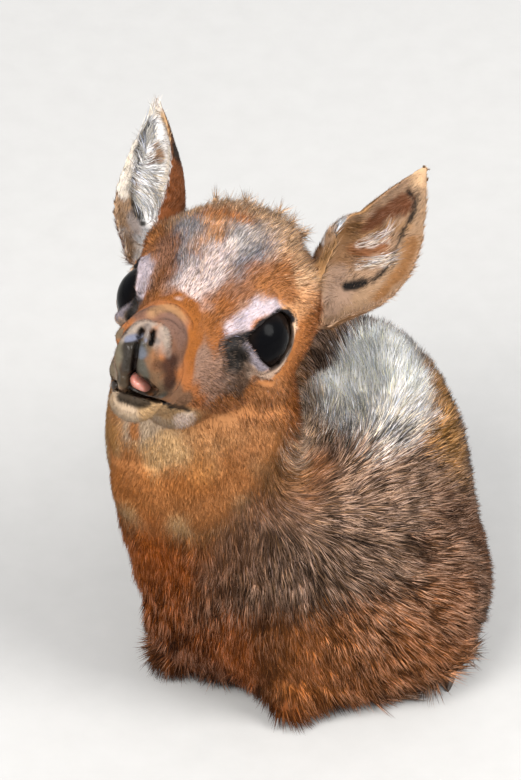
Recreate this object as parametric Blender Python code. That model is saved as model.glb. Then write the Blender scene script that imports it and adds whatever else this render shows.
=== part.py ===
"""A dik-dik fawn lying curled on the floor with its head raised, life size.

Axes: -Y is the side the animal looks to, +X its left, +Z up. The floor is at zero height.
Shapes are worked out in millimetres round the middle of the curl, and the finished
meshes are scaled to metres and moved so that the origin is under the middle of the box.
"""
import math
import random

import bmesh
import bpy
import numpy as np
from mathutils import Matrix, Vector

# Sizes in millimetres, turns in degrees. Outlines include the coat
MM = 0.001
GAP = 0.3
SMALLEST = 0.03
SEED = 7

# Head: the middle between the eyes, and how it is turned
EYE_LEVEL = Vector((-38.3, -20.0, 140.5))
HEAD_YAW = -22.0
HEAD_PITCH = -33.0
HEAD_ROLL = 4.7

# Stations along the head: forward, half width, top, bottom, squareness of the section
HEAD = [
    (-42, 15, 21, -6, 2.0),
    (-39, 23, 26, -15, 2.0),
    (-31, 29, 31.5, -25, 2.0),
    (-19, 30.5, 33.5, -31, 2.1),
    (-7, 26.5, 30, -33.5, 2.1),
    (3, 21.5, 23, -34, 2.1),
    (13, 17.0, 15, -32.5, 2.2),
    (23, 13.3, 8.5, -30, 2.3),
    (33, 11.0, 6, -29.5, 2.4),
    (42, 9.6, 4.2, -28.5, 2.5),
    (47, 7.6, 1.5, -25.5, 2.4),
    (49.5, 4.2, -3, -19, 2.0),
]

EYE_RADIUS = 11.6
EYE_PLACE = (16.4, -5.6, -0.8)
EYE_ASPECT = (0.82, 0.56, 0.10)
EYE_BACK = 3.0
LID = 1.5
LID_DEPTHS = (2.0, 22.0)
# The lids' opening seen along the eye's axis: angle from the inner corner, distance
APERTURE = [
    (0, 9.4),
    (20, 7.8),
    (43, 7.0),
    (80, 7.8),
    (112, 9.8),
    (145, 10.5),
    (180, 9.2),
    (215, 8.4),
    (242, 9.4),
    (275, 7.8),
    (300, 6.9),
    (320, 6.7),
    (340, 7.7),
]

NOSTRIL_PLACE = (1.9, 48.6, -3.0)
NOSTRIL_SIZE = (0.9, 4.5, 1.9)
NOSTRIL_SPLAY = 24.0
# The groove that parts the upper lip under the nose
GROOVE_PLACE = (0.0, 50.5, -15.5)
GROOVE_SIZE = (1.7, 4.0, 9.5)
# Rounded masses of the head: place to the left, forward and up, and radii
PAIRED_LUMPS = [
    ((15, -20, -12), (14, 17, 17)),
    ((5.2, 38, -11), (6.4, 11, 9)),
    ((21, -20, 13), (9, 10, 10)),
]
NOSE_END = ((0, 41, -3.5), (8.2, 8.6, 7.4))
CHIN = ((0, 38.5, -25), (8.4, 10.5, 5.6))

# The mouth line in the head's side view: forward, height, half of the gap
MOUTH_CORNER_FORWARD = 25.0
MOUTH_LINE = [
    (60, -21.2, 2.6),
    (47, -21.8, 2.1),
    (36, -23.0, 1.5),
    (MOUTH_CORNER_FORWARD, -24.2, 0.15),
    (8, -25.5, 0.15),
    (-15, -27.5, 0.15),
    (-60, -31.0, 0.15),
]

EAR_ROOT = {"left": (31.0, -20.5, 8.2), "right": (31.5, -19.0, 9.0)}
EAR_WAY = {"left": (9.5, -24, 43), "right": (15.5, -29.5, 37.5)}
EAR_OPEN_TO = {"left": (0.70, 0.68, 0.22), "right": (0.61, 0.73, 0.32)}
EAR_LENGTH = {"left": 60.0, "right": 58.0}
EAR_BREADTH = {"left": 1.05, "right": 0.98}
# How far the middle of the ear is bowed outwards
EAR_BOW = {"left": 4.0, "right": 1.5}
# The inner surface: how much nearer its edge lies, and its least share of the radius
EAR_INSET = 0.02
EAR_LEAST = 0.3
EAR_EDGE = 0.45
# Along the ear: half width, half angle of the cup, thickness
EAR = [
    (6.6, 140, 2.2),
    (8.2, 128, 2.2),
    (10.8, 112, 2.2),
    (12.6, 102, 2.1),
    (13.0, 96, 2.0),
    (12.4, 90, 1.9),
    (10.6, 82, 1.8),
    (8.0, 72, 1.6),
    (4.6, 62, 1.4),
    (1.0, 55, 1.0),
]

# The trunk curls like a letter C: middle of each section, half width, half height
TRUNK = [
    ((-42, -34, 28), 17, 22),
    ((-30, -32, 38), 25, 36),
    ((-10, -29, 42), 28, 44),
    ((9, -20, 43), 29, 47),
    ((21, -3, 44), 29, 48),
    ((23, 21, 45), 28, 49),
    ((15, 43, 41), 26, 44),
    ((1, 56, 33), 19, 32),
]
NECK = [
    ((-31, -28, 46), 28, 29),
    ((-34.5, -26, 68), 30.5, 29),
    ((-36.5, -21, 88), 32.5, 28.5),
    ((-36, -12, 104), 31, 27),
    ((-32, -5, 118), 27, 25),
]
PEAR = 0.16
# The near flank from the shoulder to the haunch, low down
FLANK = [
    ((-36, -24, 21), 14, 22),
    ((-20, -35, 23), 17, 24),
    ((2, -38.5, 25), 18, 26),
    ((24, -36, 26), 18, 27),
    ((38, -24, 26), 17, 27),
    ((40, -2, 27), 14, 28),
]
# Muscle masses on the trunk: middle, radii, turns about x, y and z
HAUNCH_LEFT = ((32, -14, 28), (22, 35, 31), (0, 0, 10))
HAUNCH_RIGHT = ((-4, 26, 27), (19, 27, 26), (0, 0, 30))
SHOULDER_LEFT = ((-12, -37, 32), (24, 18, 31), (0, 0, 12))
SHOULDER_RIGHT = ((-36, -10, 32), (17, 24, 29), (0, 0, 20))
WITHERS = ((-4, -6, 50), (27, 27, 35), (0, 0, 0))
LOIN = ((8, 18, 46), (24, 30, 38), (0, 0, 0))

# The part of each muscle mass that belongs to the leg
THIGH_LEFT = ((39, -7, 26), (18, 28, 28), (0, 0, 12))
THIGH_RIGHT = ((-12, 31, 22), (14, 20, 20), (0, 0, 30))
ARM_LEFT = ((-14, -47, 29), (19, 18, 31), (0, 0, 12))
ARM_RIGHT = ((-46, -8, 24), (13, 18, 21), (0, 0, 20))

# Legs: the middle line of the part below the muscle, with half widths
FORELEG_LEFT = [
    ((6, -38, 21), 7.5, 8.5),
    ((0, -43, 14), 6.2, 6.8),
    ((-6, -48, 9), 5.6, 6.2),
    ((-11, -50, 6.4), 4.9, 5.6),
    ((-8, -44, 5), 4.2, 5.0),
    ((1, -39, 4.2), 3.8, 4.6),
    ((11, -36, 4.0), 4.2, 4.6),
]
FORELEG_RIGHT = [
    ((-34, 2, 20), 7.5, 8.5),
    ((-41, -10, 13), 6.0, 6.8),
    ((-45, -20, 8.5), 5.4, 6.2),
    ((-47, -25, 6.2), 4.8, 5.6),
    ((-50, -21, 5), 4.2, 5.0),
    ((-52, -8, 4.2), 3.8, 4.6),
    ((-50, 5, 4.0), 4.2, 4.6),
]
HINDLEG_LEFT = [
    ((28, -30, 20), 8.5, 9),
    ((35, -16, 14), 7, 8),
    ((39, 10, 9), 5.8, 7),
    ((41, 17, 7), 5.4, 6.4),
    ((44, 11, 5), 4.6, 5.4),
    ((44, -8, 4.4), 4.0, 4.8),
    ((41, -24, 4.2), 4.4, 4.8),
]
HINDLEG_RIGHT = [
    ((-14, 14, 20), 8.5, 9),
    ((-18, 30, 14), 7, 8),
    ((-19, 45, 9), 5.8, 7),
    ((-21, 50, 7), 5.4, 6.4),
    ((-25, 44, 5), 4.6, 5.4),
    ((-30, 26, 4.4), 4.0, 4.8),
    ((-34, 12, 4.2), 4.4, 4.8),
]
LEGS = {
    "foreleg_left": (FORELEG_LEFT, ARM_LEFT),
    "foreleg_right": (FORELEG_RIGHT, ARM_RIGHT),
    "hindleg_left": (HINDLEG_LEFT, THIGH_LEFT),
    "hindleg_right": (HINDLEG_RIGHT, THIGH_RIGHT),
}
SHANK_EASE = 0.3
SHANK_END = 1.5
HOOF_LENGTH = 12.0
HOOF_WIDTH = 3.6
HOOF_HEIGHT = 6.4
HOOF_SPLIT = 0.5
HOOF_SIDES = 9
# A toe's height over the middle line, how flat it is below, and the room round both toes
HOOF_RISE = 0.6
HOOF_FLAT = 0.55
HOOF_ROOM = (4.0, 3.4, 3.5)
# Along a toe: share of the length, of the width and of the height
HOOF = [(0, 0.85, 0.95), (0.3, 1.0, 1.0), (0.6, 0.9, 0.8), (0.85, 0.6, 0.5), (1.0, 0.2, 0.2)]
TAIL = [
    ((0, 60, 50), 6.5, 6.5),
    ((-6, 70, 42), 6.5, 6),
    ((-10, 76, 31), 5.2, 5),
    ((-13, 79, 21), 2.2, 2.2),
]
TONGUE_PLACE = (0.8, 39.5, -21.2)
TONGUE_SIZE = (5.0, 8.6, 1.9)
TONGUE_TILT = -7.0

# Rounded ends of swept parts: share of the last section, and distance past it
END_CAP = ((0.85, 0.45), (0.5, 0.8))

# Cuts across the body: a point on the cut and the way the upper piece lies
HEAD_CUT = ((-31, -6, 112), (-0.30, -0.50, 0.81))
NECK_CUT = ((-34, -26, 73), (-0.38, -0.34, 0.86))

# Fused bodies: size of the first even mesh, rounds of smoothing, triangles kept
FINE_VOXEL = 1.3
BODY_VOXEL = 2.4
SHANK_VOXEL = 1.3
HEAD_ROUNDS = 8
BODY_ROUNDS = 6
SHANK_ROUNDS = 3
SHANK_TRIANGLES = 260
HEAD_TRIANGLES = 2620
BODY_TRIANGLES = 2200
HEAD_FINE_TRIANGLES = 20000
EAR_STEPS = 13
EAR_SIDES = 7

# The tuft on the crown: rows by their distance forward of the eyes, locks to a row
FORELOCK_ROWS = (-14.0, -18.5, -23.0, -27.0)
FORELOCK_LOCKS = 6
FORELOCK_HALF_WIDTH = 14.0
FORELOCK_LENGTH = 9.0
FORELOCK_WIDTH = 4.2
# The way a lock leaves the head (outwards, forward, up) and how its tip bends
FORELOCK_WAY = (0.25, -0.85, 0.24)
FORELOCK_BEND = (0.20, -0.15, -0.12)
FORELOCK_STRAY = 0.12
ABOVE_HEAD = 60.0
LOCK_ROOT = 2.5
LOCK_FLATNESS = 0.4
# Along a lock: share of its length and of its width
LOCK = [(0.0, 0.8), (0.35, 1.0), (0.7, 0.7), (1.0, 0.15)]

# Colour and roughness of each node, or of all nodes whose name starts so
PAINTS = {
    "head": ((0.45, 0.22, 0.10), 0.85),
    "lower": ((0.62, 0.40, 0.22), 0.85),
    "neck": ((0.52, 0.28, 0.12), 0.85),
    "torso": ((0.26, 0.18, 0.11), 0.85),
    "foreleg": ((0.38, 0.19, 0.09), 0.85),
    "hindleg": ((0.34, 0.19, 0.10), 0.85),
    "tail": ((0.36, 0.20, 0.10), 0.85),
    "ear": ((0.55, 0.40, 0.30), 0.8),
    "eye": ((0.012, 0.008, 0.006), 0.15),
    "tongue": ((0.62, 0.26, 0.22), 0.45),
    "hoof": ((0.03, 0.026, 0.024), 0.5),
}


def clear_scene():
    for obj in list(bpy.data.objects):
        bpy.data.objects.remove(obj)


def head_turn():
    """Turns the head's own axes (left, back, up) into the model's."""
    yaw = Matrix.Rotation(math.radians(HEAD_YAW), 3, "Z")
    pitch = Matrix.Rotation(math.radians(HEAD_PITCH), 3, "X")
    roll = Matrix.Rotation(math.radians(HEAD_ROLL), 3, "Y")
    return yaw @ pitch @ roll


def head_way(left, forward, up):
    """A direction given to the left, forward and up of the head."""
    return head_turn() @ Vector((left, -forward, up))


def from_head(left, forward, up):
    """A point given to the left, forward and up of the middle between the eyes."""
    return EYE_LEVEL + head_way(left, forward, up)


def mesh_object(name, verts, faces):
    mesh = bpy.data.meshes.new(name)
    mesh.from_pydata([tuple(v) for v in verts], [], faces)
    obj = bpy.data.objects.new(name, mesh)
    bpy.context.scene.collection.objects.link(obj)
    bm = bmesh.new()
    bm.from_mesh(mesh)
    bmesh.ops.recalc_face_normals(bm, faces=bm.faces)
    bm.to_mesh(mesh)
    bm.free()
    return obj


def copy_of(obj, name):
    twin = bpy.data.objects.new(name, obj.data.copy())
    bpy.context.scene.collection.objects.link(twin)
    return twin


def spline(rows, t):
    """A smooth curve through rows of numbers, t running from 0 to 1."""
    spot = t * (len(rows) - 1)
    i = min(int(spot), len(rows) - 2)
    u = spot - i
    a, b, c, d = (
        np.asarray(rows[min(max(k, 0), len(rows) - 1)], float) for k in (i - 1, i, i + 1, i + 2)
    )
    cubic = 3 * b - a - 3 * c + d
    return 0.5 * (2 * b + (c - a) * u + (2 * a - 5 * b + 4 * c - d) * u**2 + cubic * u**3)


def loft(name, rings, sheet=False):
    """A closed skin through rings of points, each end drawn in to a middle point.

    A sheet's ring runs along one side and back along the other, so its ends close across.
    """
    n = len(rings[0])
    verts = [p for ring in rings for p in ring]
    faces = []
    for r in range(len(rings) - 1):
        for k in range(n):
            a, b = r * n + k, r * n + (k + 1) % n
            faces.append((a, b, b + n, a + n))
    for first in (0, (len(rings) - 1) * n):
        if sheet:
            for k in range(n // 2 - 1):
                a, b = first + k, first + n - 1 - k
                faces.append((a, a + 1, b - 1, b))
            continue
        verts.append(np.mean([np.array(verts[first + k]) for k in range(n)], axis=0))
        for k in range(n):
            faces.append((len(verts) - 1, first + k, first + (k + 1) % n))
    return mesh_object(name, verts, faces)


def sweep(name, stations, steps, sides, up=(0, 0, 1), grow=0.0, pear=0.0):
    """A body part along a bent middle line: stations hold (place, half width, half height)."""
    rows = [[*place, width + grow, height + grow] for place, width, height in stations]
    points = [spline(rows, k / steps) for k in range(steps + 1)]
    rings = []
    for k, row in enumerate(points):
        ahead = points[min(k + 1, steps)][:3] - points[max(k - 1, 0)][:3]
        side = np.cross(ahead, up)
        side /= np.linalg.norm(side)
        top = np.cross(side, ahead / np.linalg.norm(ahead))
        rings.append([
            row[:3]
            + side * row[3] * math.cos(a) * (1 - pear * math.sin(a))
            + top * row[4] * math.sin(a)
            for a in (2 * math.pi * s / sides for s in range(sides))
        ])
    caps = []
    for row, near, ring in ((points[0], points[1], rings[0]), (points[-1], points[-2], rings[-1])):
        out = (row[:3] - near[:3]) / np.linalg.norm(row[:3] - near[:3]) * min(row[3], row[4])
        caps.append([
            [p * share + row[:3] * (1 - share) + out * past for p in ring]
            for share, past in END_CAP
        ])
    return loft(name, caps[0][::-1] + rings + caps[1])


def ellipsoid(name, centre, radii, turn=(0, 0, 0), grow=0.0, segments=24, rings=14):
    mesh = bpy.data.meshes.new(name)
    bm = bmesh.new()
    bmesh.ops.create_uvsphere(bm, u_segments=segments, v_segments=rings, radius=1.0)
    bm.to_mesh(mesh)
    bm.free()
    obj = bpy.data.objects.new(name, mesh)
    bpy.context.scene.collection.objects.link(obj)
    turning = Matrix.Identity(4)
    for angle, axis in zip(reversed(turn), "ZYX"):
        turning = turning @ Matrix.Rotation(math.radians(angle), 4, axis)
    sizes = Matrix.Diagonal((*(r + grow for r in radii), 1))
    mesh.transform(Matrix.Translation(centre) @ turning @ sizes)
    return obj


def applied(obj):
    """Turns an object's modifiers into its mesh."""
    graph = bpy.context.evaluated_depsgraph_get()
    mesh = bpy.data.meshes.new_from_object(obj.evaluated_get(graph))
    obj.modifiers.clear()
    obj.data = mesh
    return obj


def boolean(obj, cutter, operation, keep_cutter=False):
    mod = obj.modifiers.new("cut", "BOOLEAN")
    mod.operation = operation
    mod.object = cutter
    applied(obj)
    if not keep_cutter:
        bpy.data.objects.remove(cutter)
    return obj


def join_all(obj, others):
    """One Boolean union of obj with a collection of closed pieces, which are then removed."""
    group = bpy.data.collections.new("pieces")
    for other in others:
        group.objects.link(other)
    mod = obj.modifiers.new("join", "BOOLEAN")
    mod.operation = "UNION"
    mod.operand_type = "COLLECTION"
    mod.collection = group
    applied(obj)
    for other in others:
        bpy.data.objects.remove(other)
    bpy.data.collections.remove(group)
    return obj


def shells(obj):
    """The object's closed surfaces as lists of faces' indices, largest first."""
    bm = bmesh.new()
    bm.from_mesh(obj.data)
    bm.faces.ensure_lookup_table()
    seen = set()
    found = []
    for start in bm.faces:
        if start.index in seen:
            continue
        stack, shell = [start], []
        seen.add(start.index)
        while stack:
            face = stack.pop()
            shell.append(face.index)
            for edge in face.edges:
                for other in edge.link_faces:
                    if other.index not in seen:
                        seen.add(other.index)
                        stack.append(other)
        found.append(shell)
    bm.free()
    return sorted(found, key=len, reverse=True)


def keep_shell(obj, rank=0):
    """Keeps one closed surface of the object, the largest unless rank says otherwise."""
    wanted = set(shells(obj)[rank])
    bm = bmesh.new()
    bm.from_mesh(obj.data)
    bm.faces.ensure_lookup_table()
    extra = [f for f in bm.faces if f.index not in wanted]
    bmesh.ops.delete(bm, geom=extra, context="FACES")
    bm.to_mesh(obj.data)
    bm.free()
    return obj


def fuse(name, pieces, voxel, rounds, triangles):
    """One smooth closed body from overlapping pieces, thinned to a number of triangles."""
    verts, faces = [], []
    for piece in pieces:
        start = len(verts)
        verts += [v.co.copy() for v in piece.data.vertices]
        faces += [[start + i for i in p.vertices] for p in piece.data.polygons]
        bpy.data.objects.remove(piece)
    body = mesh_object(name, verts, faces)
    remesh = body.modifiers.new("remesh", "REMESH")
    remesh.mode = "VOXEL"
    remesh.voxel_size = voxel
    smooth = body.modifiers.new("smooth", "SMOOTH")
    smooth.factor = 0.5
    smooth.iterations = rounds
    applied(body)
    count = sum(len(p.vertices) - 2 for p in body.data.polygons)
    thin = body.modifiers.new("thin", "DECIMATE")
    thin.ratio = min(1.0, triangles / count)
    return keep_shell(applied(body))


def halved(obj, point, way, keep_above):
    """Cuts the object at a plane, on whose far side a large block takes everything away."""
    reach = 400.0
    bm = bmesh.new()
    bmesh.ops.create_cube(bm, size=reach)
    mesh = bpy.data.meshes.new("block")
    bm.to_mesh(mesh)
    bm.free()
    block = bpy.data.objects.new("block", mesh)
    bpy.context.scene.collection.objects.link(block)
    up = Vector(way).normalized()
    side = -1 if keep_above else 1
    turn = up.to_track_quat("Z", "Y").to_matrix().to_4x4()
    mesh.transform(Matrix.Translation(Vector(point) + up * side * reach / 2) @ turn)
    return boolean(obj, block, "DIFFERENCE")


def cleaned(obj):
    """Merges points that cuts left almost on top of each other, and makes all faces triangles."""
    bm = bmesh.new()
    bm.from_mesh(obj.data)
    bmesh.ops.triangulate(bm, faces=bm.faces[:])
    bmesh.ops.remove_doubles(bm, verts=bm.verts[:], dist=SMALLEST)
    bmesh.ops.dissolve_degenerate(bm, edges=bm.edges[:], dist=SMALLEST)
    bmesh.ops.triangulate(bm, faces=bm.faces[:])
    bm.to_mesh(obj.data)
    bm.free()
    return keep_shell(obj)


def moved_along(point, way, distance):
    return Vector(point) + Vector(way).normalized() * distance


def swollen(obj, name, by):
    """A copy of the object, its surface moved outwards."""
    twin = copy_of(obj, name)
    normals = [v.normal.copy() for v in twin.data.vertices]
    for vert, normal in zip(twin.data.vertices, normals):
        vert.co += normal * by
    return twin


def head_solid():
    steps = 46
    sides = 44
    rings = []
    for k in range(steps + 1):
        forward, width, top, bottom, power = spline(HEAD, k / steps)
        middle = (top + bottom) / 2
        ring = []
        for s in range(sides):
            a = 2 * math.pi * s / sides
            c, d = math.cos(a), math.sin(a)
            across = width * math.copysign(abs(c) ** (2 / power), c)
            high = (top - middle) * math.copysign(abs(d) ** (2 / power), d)
            ring.append(from_head(across, forward, middle + high))
        rings.append(ring)
    return loft("head_solid", rings)


def eye_centre(sign):
    left, forward, up = EYE_PLACE
    return from_head(sign * left, forward, up)


def eye_way(sign):
    left, forward, up = EYE_ASPECT
    return head_way(sign * left, forward, up).normalized()


def head_lumps():
    """The eyes' bulges, the cheeks, the upper lips, the ears' feet, the nose's end and the chin."""
    pieces = []
    for sign in (-1, 1):
        pieces.append(ellipsoid("orbit", eye_centre(sign), (EYE_RADIUS + LID,) * 3))
        for (left, forward, up), radii in PAIRED_LUMPS:
            pieces.append(ellipsoid("lump", from_head(sign * left, forward, up), radii))
    for place, radii in (NOSE_END, CHIN):
        pieces.append(ellipsoid("lump", from_head(*place), radii))
    return pieces


def body_pieces():
    pieces = [
        sweep("trunk", TRUNK, 36, 40, pear=PEAR),
        sweep("flank", FLANK, 24, 30),
        sweep("neck", NECK, 20, 36, up=(0, 1, 0)),
        head_solid(),
    ]
    for name, lump in (
        ("haunch_left", HAUNCH_LEFT), ("haunch_right", HAUNCH_RIGHT),
        ("shoulder_left", SHOULDER_LEFT), ("shoulder_right", SHOULDER_RIGHT),
        ("withers", WITHERS), ("loin", LOIN),
    ):
        pieces.append(ellipsoid(name, *lump))
    return pieces + head_lumps()


def mouth_cutter():
    """A wedge across the head along the mouth line, open in front and thin behind."""
    reach = 45.0
    steps = 24
    rows = [spline(MOUTH_LINE, k / steps) for k in range(steps + 1)]
    outline = [(f, u + g) for f, u, g in rows] + [(f, u - g) for f, u, g in reversed(rows)]
    rings = [[from_head(side * reach, f, u) for f, u in outline] for side in (-1, 1)]
    return loft("mouth_cutter", rings, sheet=True)


def lid_cutter(sign):
    """A prism along the eye's own axis, which opens the lids to a rounded triangle."""
    centre, way = eye_centre(sign), eye_way(sign)
    front = head_way(0, 1, 0)
    along = (front - way * front.dot(way)).normalized()
    above = along.cross(way) * sign
    corners = [(r * math.cos(math.radians(a)), r * math.sin(math.radians(a))) for a, r in APERTURE]
    closed = corners[-1:] + corners + corners[:2]
    sides = 30
    spots = [(1 + len(corners) * s / sides) / (len(closed) - 1) for s in range(sides)]
    outline = [spline(closed, spot) for spot in spots]
    rings = [
        [centre + way * depth + along * x + above * y for x, y in outline] for depth in LID_DEPTHS
    ]
    return loft("lid_cutter", rings)


def make_eye(name, sign, grow=0.0):
    """The front of the eyeball, flat behind where it meets the skull."""
    centre, way = eye_centre(sign), eye_way(sign)
    ball = ellipsoid(name, centre, (EYE_RADIUS + grow,) * 3, segments=20, rings=12)
    return halved(ball, centre - way * (EYE_BACK + grow), way, True)


def head_cutter(name, place, size, turn=(0, 0, 0)):
    """A rounded cutter given in the head's own axes."""
    piece = ellipsoid(name, (0, 0, 0), size, turn, segments=14, rings=10)
    piece.data.transform(Matrix.Translation(from_head(*place)) @ head_turn().to_4x4())
    return piece


def nostril_cutter(sign):
    left, forward, up = NOSTRIL_PLACE
    turn = (0, -sign * NOSTRIL_SPLAY, 0)
    return head_cutter("nostril", (sign * left, forward, up), NOSTRIL_SIZE, turn)


def ear(name, sign, side):
    """A pointed leaf bent into a cup, open to the front and side."""
    left, forward, up = EAR_ROOT[side]
    root = from_head(sign * left, forward, up)
    axis = head_way(sign * EAR_WAY[side][0], *EAR_WAY[side][1:]).normalized()
    front = head_way(sign * EAR_OPEN_TO[side][0], *EAR_OPEN_TO[side][1:])
    front = (front - axis * front.dot(axis)).normalized()
    across = axis.cross(front)
    steps = EAR_STEPS
    half = EAR_SIDES
    rings = []
    for k in range(steps + 1):
        t = k / steps
        width, angle, thick = spline(EAR, t)
        width *= EAR_BREADTH[side]
        opening = math.radians(angle)
        radius = width / math.sin(min(opening, math.pi / 2))
        bow = across * sign * EAR_BOW[side] * math.sin(math.pi * t)
        middle = root + axis * EAR_LENGTH[side] * t + bow
        ring = []
        for turn in range(-half, half + 1):
            a = opening * turn / half
            ring.append((a, radius))
        for turn in range(half, -half - 1, -1):
            a = opening * turn / half
            wall = thick * (EAR_EDGE + (1 - EAR_EDGE) * math.cos(a / opening * math.pi / 2))
            ring.append((a * (1 - EAR_INSET), max(radius - wall, radius * EAR_LEAST)))
        depth = radius * math.cos(opening)
        rings.append([
            middle + across * r * math.sin(a) + front * (depth - r * math.cos(a)) for a, r in ring
        ])
    return loft(name, rings, sheet=True)


def lock(root, way, bend, across, length, width):
    """A flat tapered lock of four-sided sections, bent towards the tip."""
    flat = width * LOCK_FLATNESS
    rings = []
    for t, share in LOCK:
        middle = root + way * length * t + bend * length * t * t
        out = way.cross(across).normalized()
        wide, thick = across * width * share * 0.5, out * flat * share * 0.5
        rings.append([middle + wide, middle + thick, middle - wide, middle - thick])
    return loft("lock", rings)


def forelock(head):
    """The short tuft on the crown: rows of locks that lean back and fan out to the sides."""
    draw = random.Random(SEED)
    locks = []
    for row, forward in enumerate(FORELOCK_ROWS):
        for k in range(FORELOCK_LOCKS):
            spread = (k + 0.5 + 0.5 * (row % 2)) / FORELOCK_LOCKS * 2 - 1
            above = from_head(spread * FORELOCK_HALF_WIDTH, forward, ABOVE_HEAD)
            hit, root, _, _ = head.ray_cast(above, head_way(0, 0, -1))
            if not hit:
                continue
            out, front, up = FORELOCK_WAY
            stray = draw.uniform(-FORELOCK_STRAY, FORELOCK_STRAY)
            way = head_way(spread * out, front + stray, up).normalized()
            bend = head_way(spread * FORELOCK_BEND[0], *FORELOCK_BEND[1:])
            across = way.cross(head_way(spread * 0.5, -0.9, 0.5)).normalized()
            length = FORELOCK_LENGTH * draw.uniform(0.85, 1.1)
            width = FORELOCK_WIDTH * draw.uniform(0.9, 1.1)
            locks.append(lock(root - way * LOCK_ROOT, way, bend, across, length, width))
    return join_all(head, locks)


def toe(name, heel, way, sign):
    """One half of a cloven hoof: flat under, rounded above, pointed in front."""
    across = Vector((way.y, -way.x, 0)) * sign
    rings = []
    for t, wide, high in HOOF:
        height = HOOF_HEIGHT * HOOF_RISE * high
        middle = heel + way * HOOF_LENGTH * t + across * (HOOF_WIDTH + HOOF_SPLIT) * 0.5
        middle.z = HOOF_FLAT * height
        ring = []
        for s in range(HOOF_SIDES):
            a = 2 * math.pi * s / HOOF_SIDES
            rise = Vector((0, 0, max(math.sin(a), -HOOF_FLAT) * height))
            ring.append(middle + across * HOOF_WIDTH * 0.5 * wide * math.cos(a) + rise)
        rings.append(ring)
    return loft(name, rings)


def leg_end(path):
    """The place where the hooves start and the level way they point."""
    last, before = Vector(path[-1][0]), Vector(path[-2][0])
    way = last - before
    way.z = 0
    return last, way.normalized()


def muscle(name, mass, grow=0.0):
    return ellipsoid(name, *mass, grow=grow, segments=16, rings=10)


def hoof_room(name):
    """The space round a pair of toes that the body leaves free."""
    place, way = leg_end(LEGS[name][0])
    half = HOOF_LENGTH * 0.5
    middle = place + way * (SHANK_END + half)
    across = math.degrees(math.atan2(way.y, way.x))
    room = [size + ease for size, ease in zip((half, HOOF_WIDTH, HOOF_HEIGHT), HOOF_ROOM)]
    return ellipsoid("hoof_room", middle, room, (0, 0, across), segments=12, rings=8)


def shank_of(name):
    """The folded lower leg as one smooth closed body, cut square where the hooves begin."""
    path = LEGS[name][0]
    tube = sweep("tube", path, 26, 16)
    shank = fuse(f"{name}_shank", [tube], SHANK_VOXEL, SHANK_ROUNDS, SHANK_TRIANGLES)
    place, way = leg_end(path)
    halved(shank, place + way * SHANK_END, way, False)
    return keep_shell(shank)


def make_leg(name, body, shank):
    """A leg: its share of the body's muscle and the shank folded under it."""
    leg = copy_of(body, name)
    boolean(leg, muscle("muscle", LEGS[name][1]), "INTERSECT")
    boolean(leg, hoof_room(name), "DIFFERENCE")
    join_all(leg, [copy_of(shank, "lower")])
    halved(leg, (0, 0, 0), (0, 0, 1), True)
    return keep_shell(leg)


def part_leg_from(obj, name, shank):
    """Takes the room of a leg and the gap round it out of a neighbour."""
    boolean(obj, muscle("muscle", LEGS[name][1], GAP), "DIFFERENCE")
    return boolean(obj, swollen(shank, "room", GAP + SHANK_EASE), "DIFFERENCE")


def tongue_solid(name, grow=0.0):
    piece = ellipsoid(name, (0, 0, 0), TONGUE_SIZE, (TONGUE_TILT, 0, 0), grow, 16, 8)
    turn = head_turn().to_4x4()
    piece.data.transform(Matrix.Translation(from_head(*TONGUE_PLACE)) @ turn)
    return piece


def colour(obj, rgb, roughness=0.8):
    mat = bpy.data.materials.new(obj.name)
    mat.use_nodes = True
    shader = mat.node_tree.nodes["Principled BSDF"]
    shader.inputs["Base Color"].default_value = (*rgb, 1)
    shader.inputs["Roughness"].default_value = roughness
    obj.data.materials.clear()
    obj.data.materials.append(mat)


def make_head_and_jaw():
    head = fuse("head", body_pieces(), FINE_VOXEL, HEAD_ROUNDS, HEAD_FINE_TRIANGLES)
    point, way = HEAD_CUT
    halved(head, moved_along(point, way, GAP / 2), way, True)
    keep_shell(head)
    thin = head.modifiers.new("thin", "DECIMATE")
    thin.ratio = HEAD_TRIANGLES / len(head.data.polygons)
    applied(head)
    halved(head, moved_along(point, way, GAP / 2), way, True)
    whole = copy_of(head, "whole")
    forelock(head)
    for sign in (-1, 1):
        boolean(head, lid_cutter(sign), "DIFFERENCE")
        boolean(head, make_eye("socket", sign, GAP), "DIFFERENCE")
        boolean(head, nostril_cutter(sign), "DIFFERENCE")
    boolean(head, head_cutter("groove", GROOVE_PLACE, GROOVE_SIZE), "DIFFERENCE")
    boolean(head, mouth_cutter(), "DIFFERENCE")
    boolean(head, tongue_solid("tongue_room", GAP), "DIFFERENCE")
    jaw = copy_of(head, "lower_jaw")
    keep_shell(head, 0)
    keep_shell(jaw, 1)
    return head, jaw, whole


def make_feet():
    """Two toes in front of the square end of each shank."""
    for name, (path, _) in LEGS.items():
        place, way = leg_end(path)
        for sign, which in ((-1, "inner"), (1, "outer")):
            toe(f"hoof_{name}_{which}", place + way * (SHANK_END + GAP), way, sign)


def place_on_origin():
    """Scales everything to metres, the origin under the middle of the whole box."""
    objects = list(bpy.context.scene.objects)
    points = np.array([v.co for obj in objects for v in obj.data.vertices])
    low, high = points.min(axis=0), points.max(axis=0)
    shift = Vector((-(low[0] + high[0]) / 2, -(low[1] + high[1]) / 2, -low[2]))
    total = 0
    for obj in objects:
        obj.data.transform(Matrix.Scale(MM, 4) @ Matrix.Translation(shift))
        count = sum(len(p.vertices) - 2 for p in obj.data.polygons)
        total += count
        print(f"{obj.name}: {count} triangles")
    print("triangles in all:", total)
    print("size in mm:", [round(float(x), 1) for x in high - low])


def paint():
    for obj in bpy.context.scene.objects:
        first = obj.name.split("_")[0]
        colour(obj, *PAINTS.get(obj.name, PAINTS.get(first)))


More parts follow.
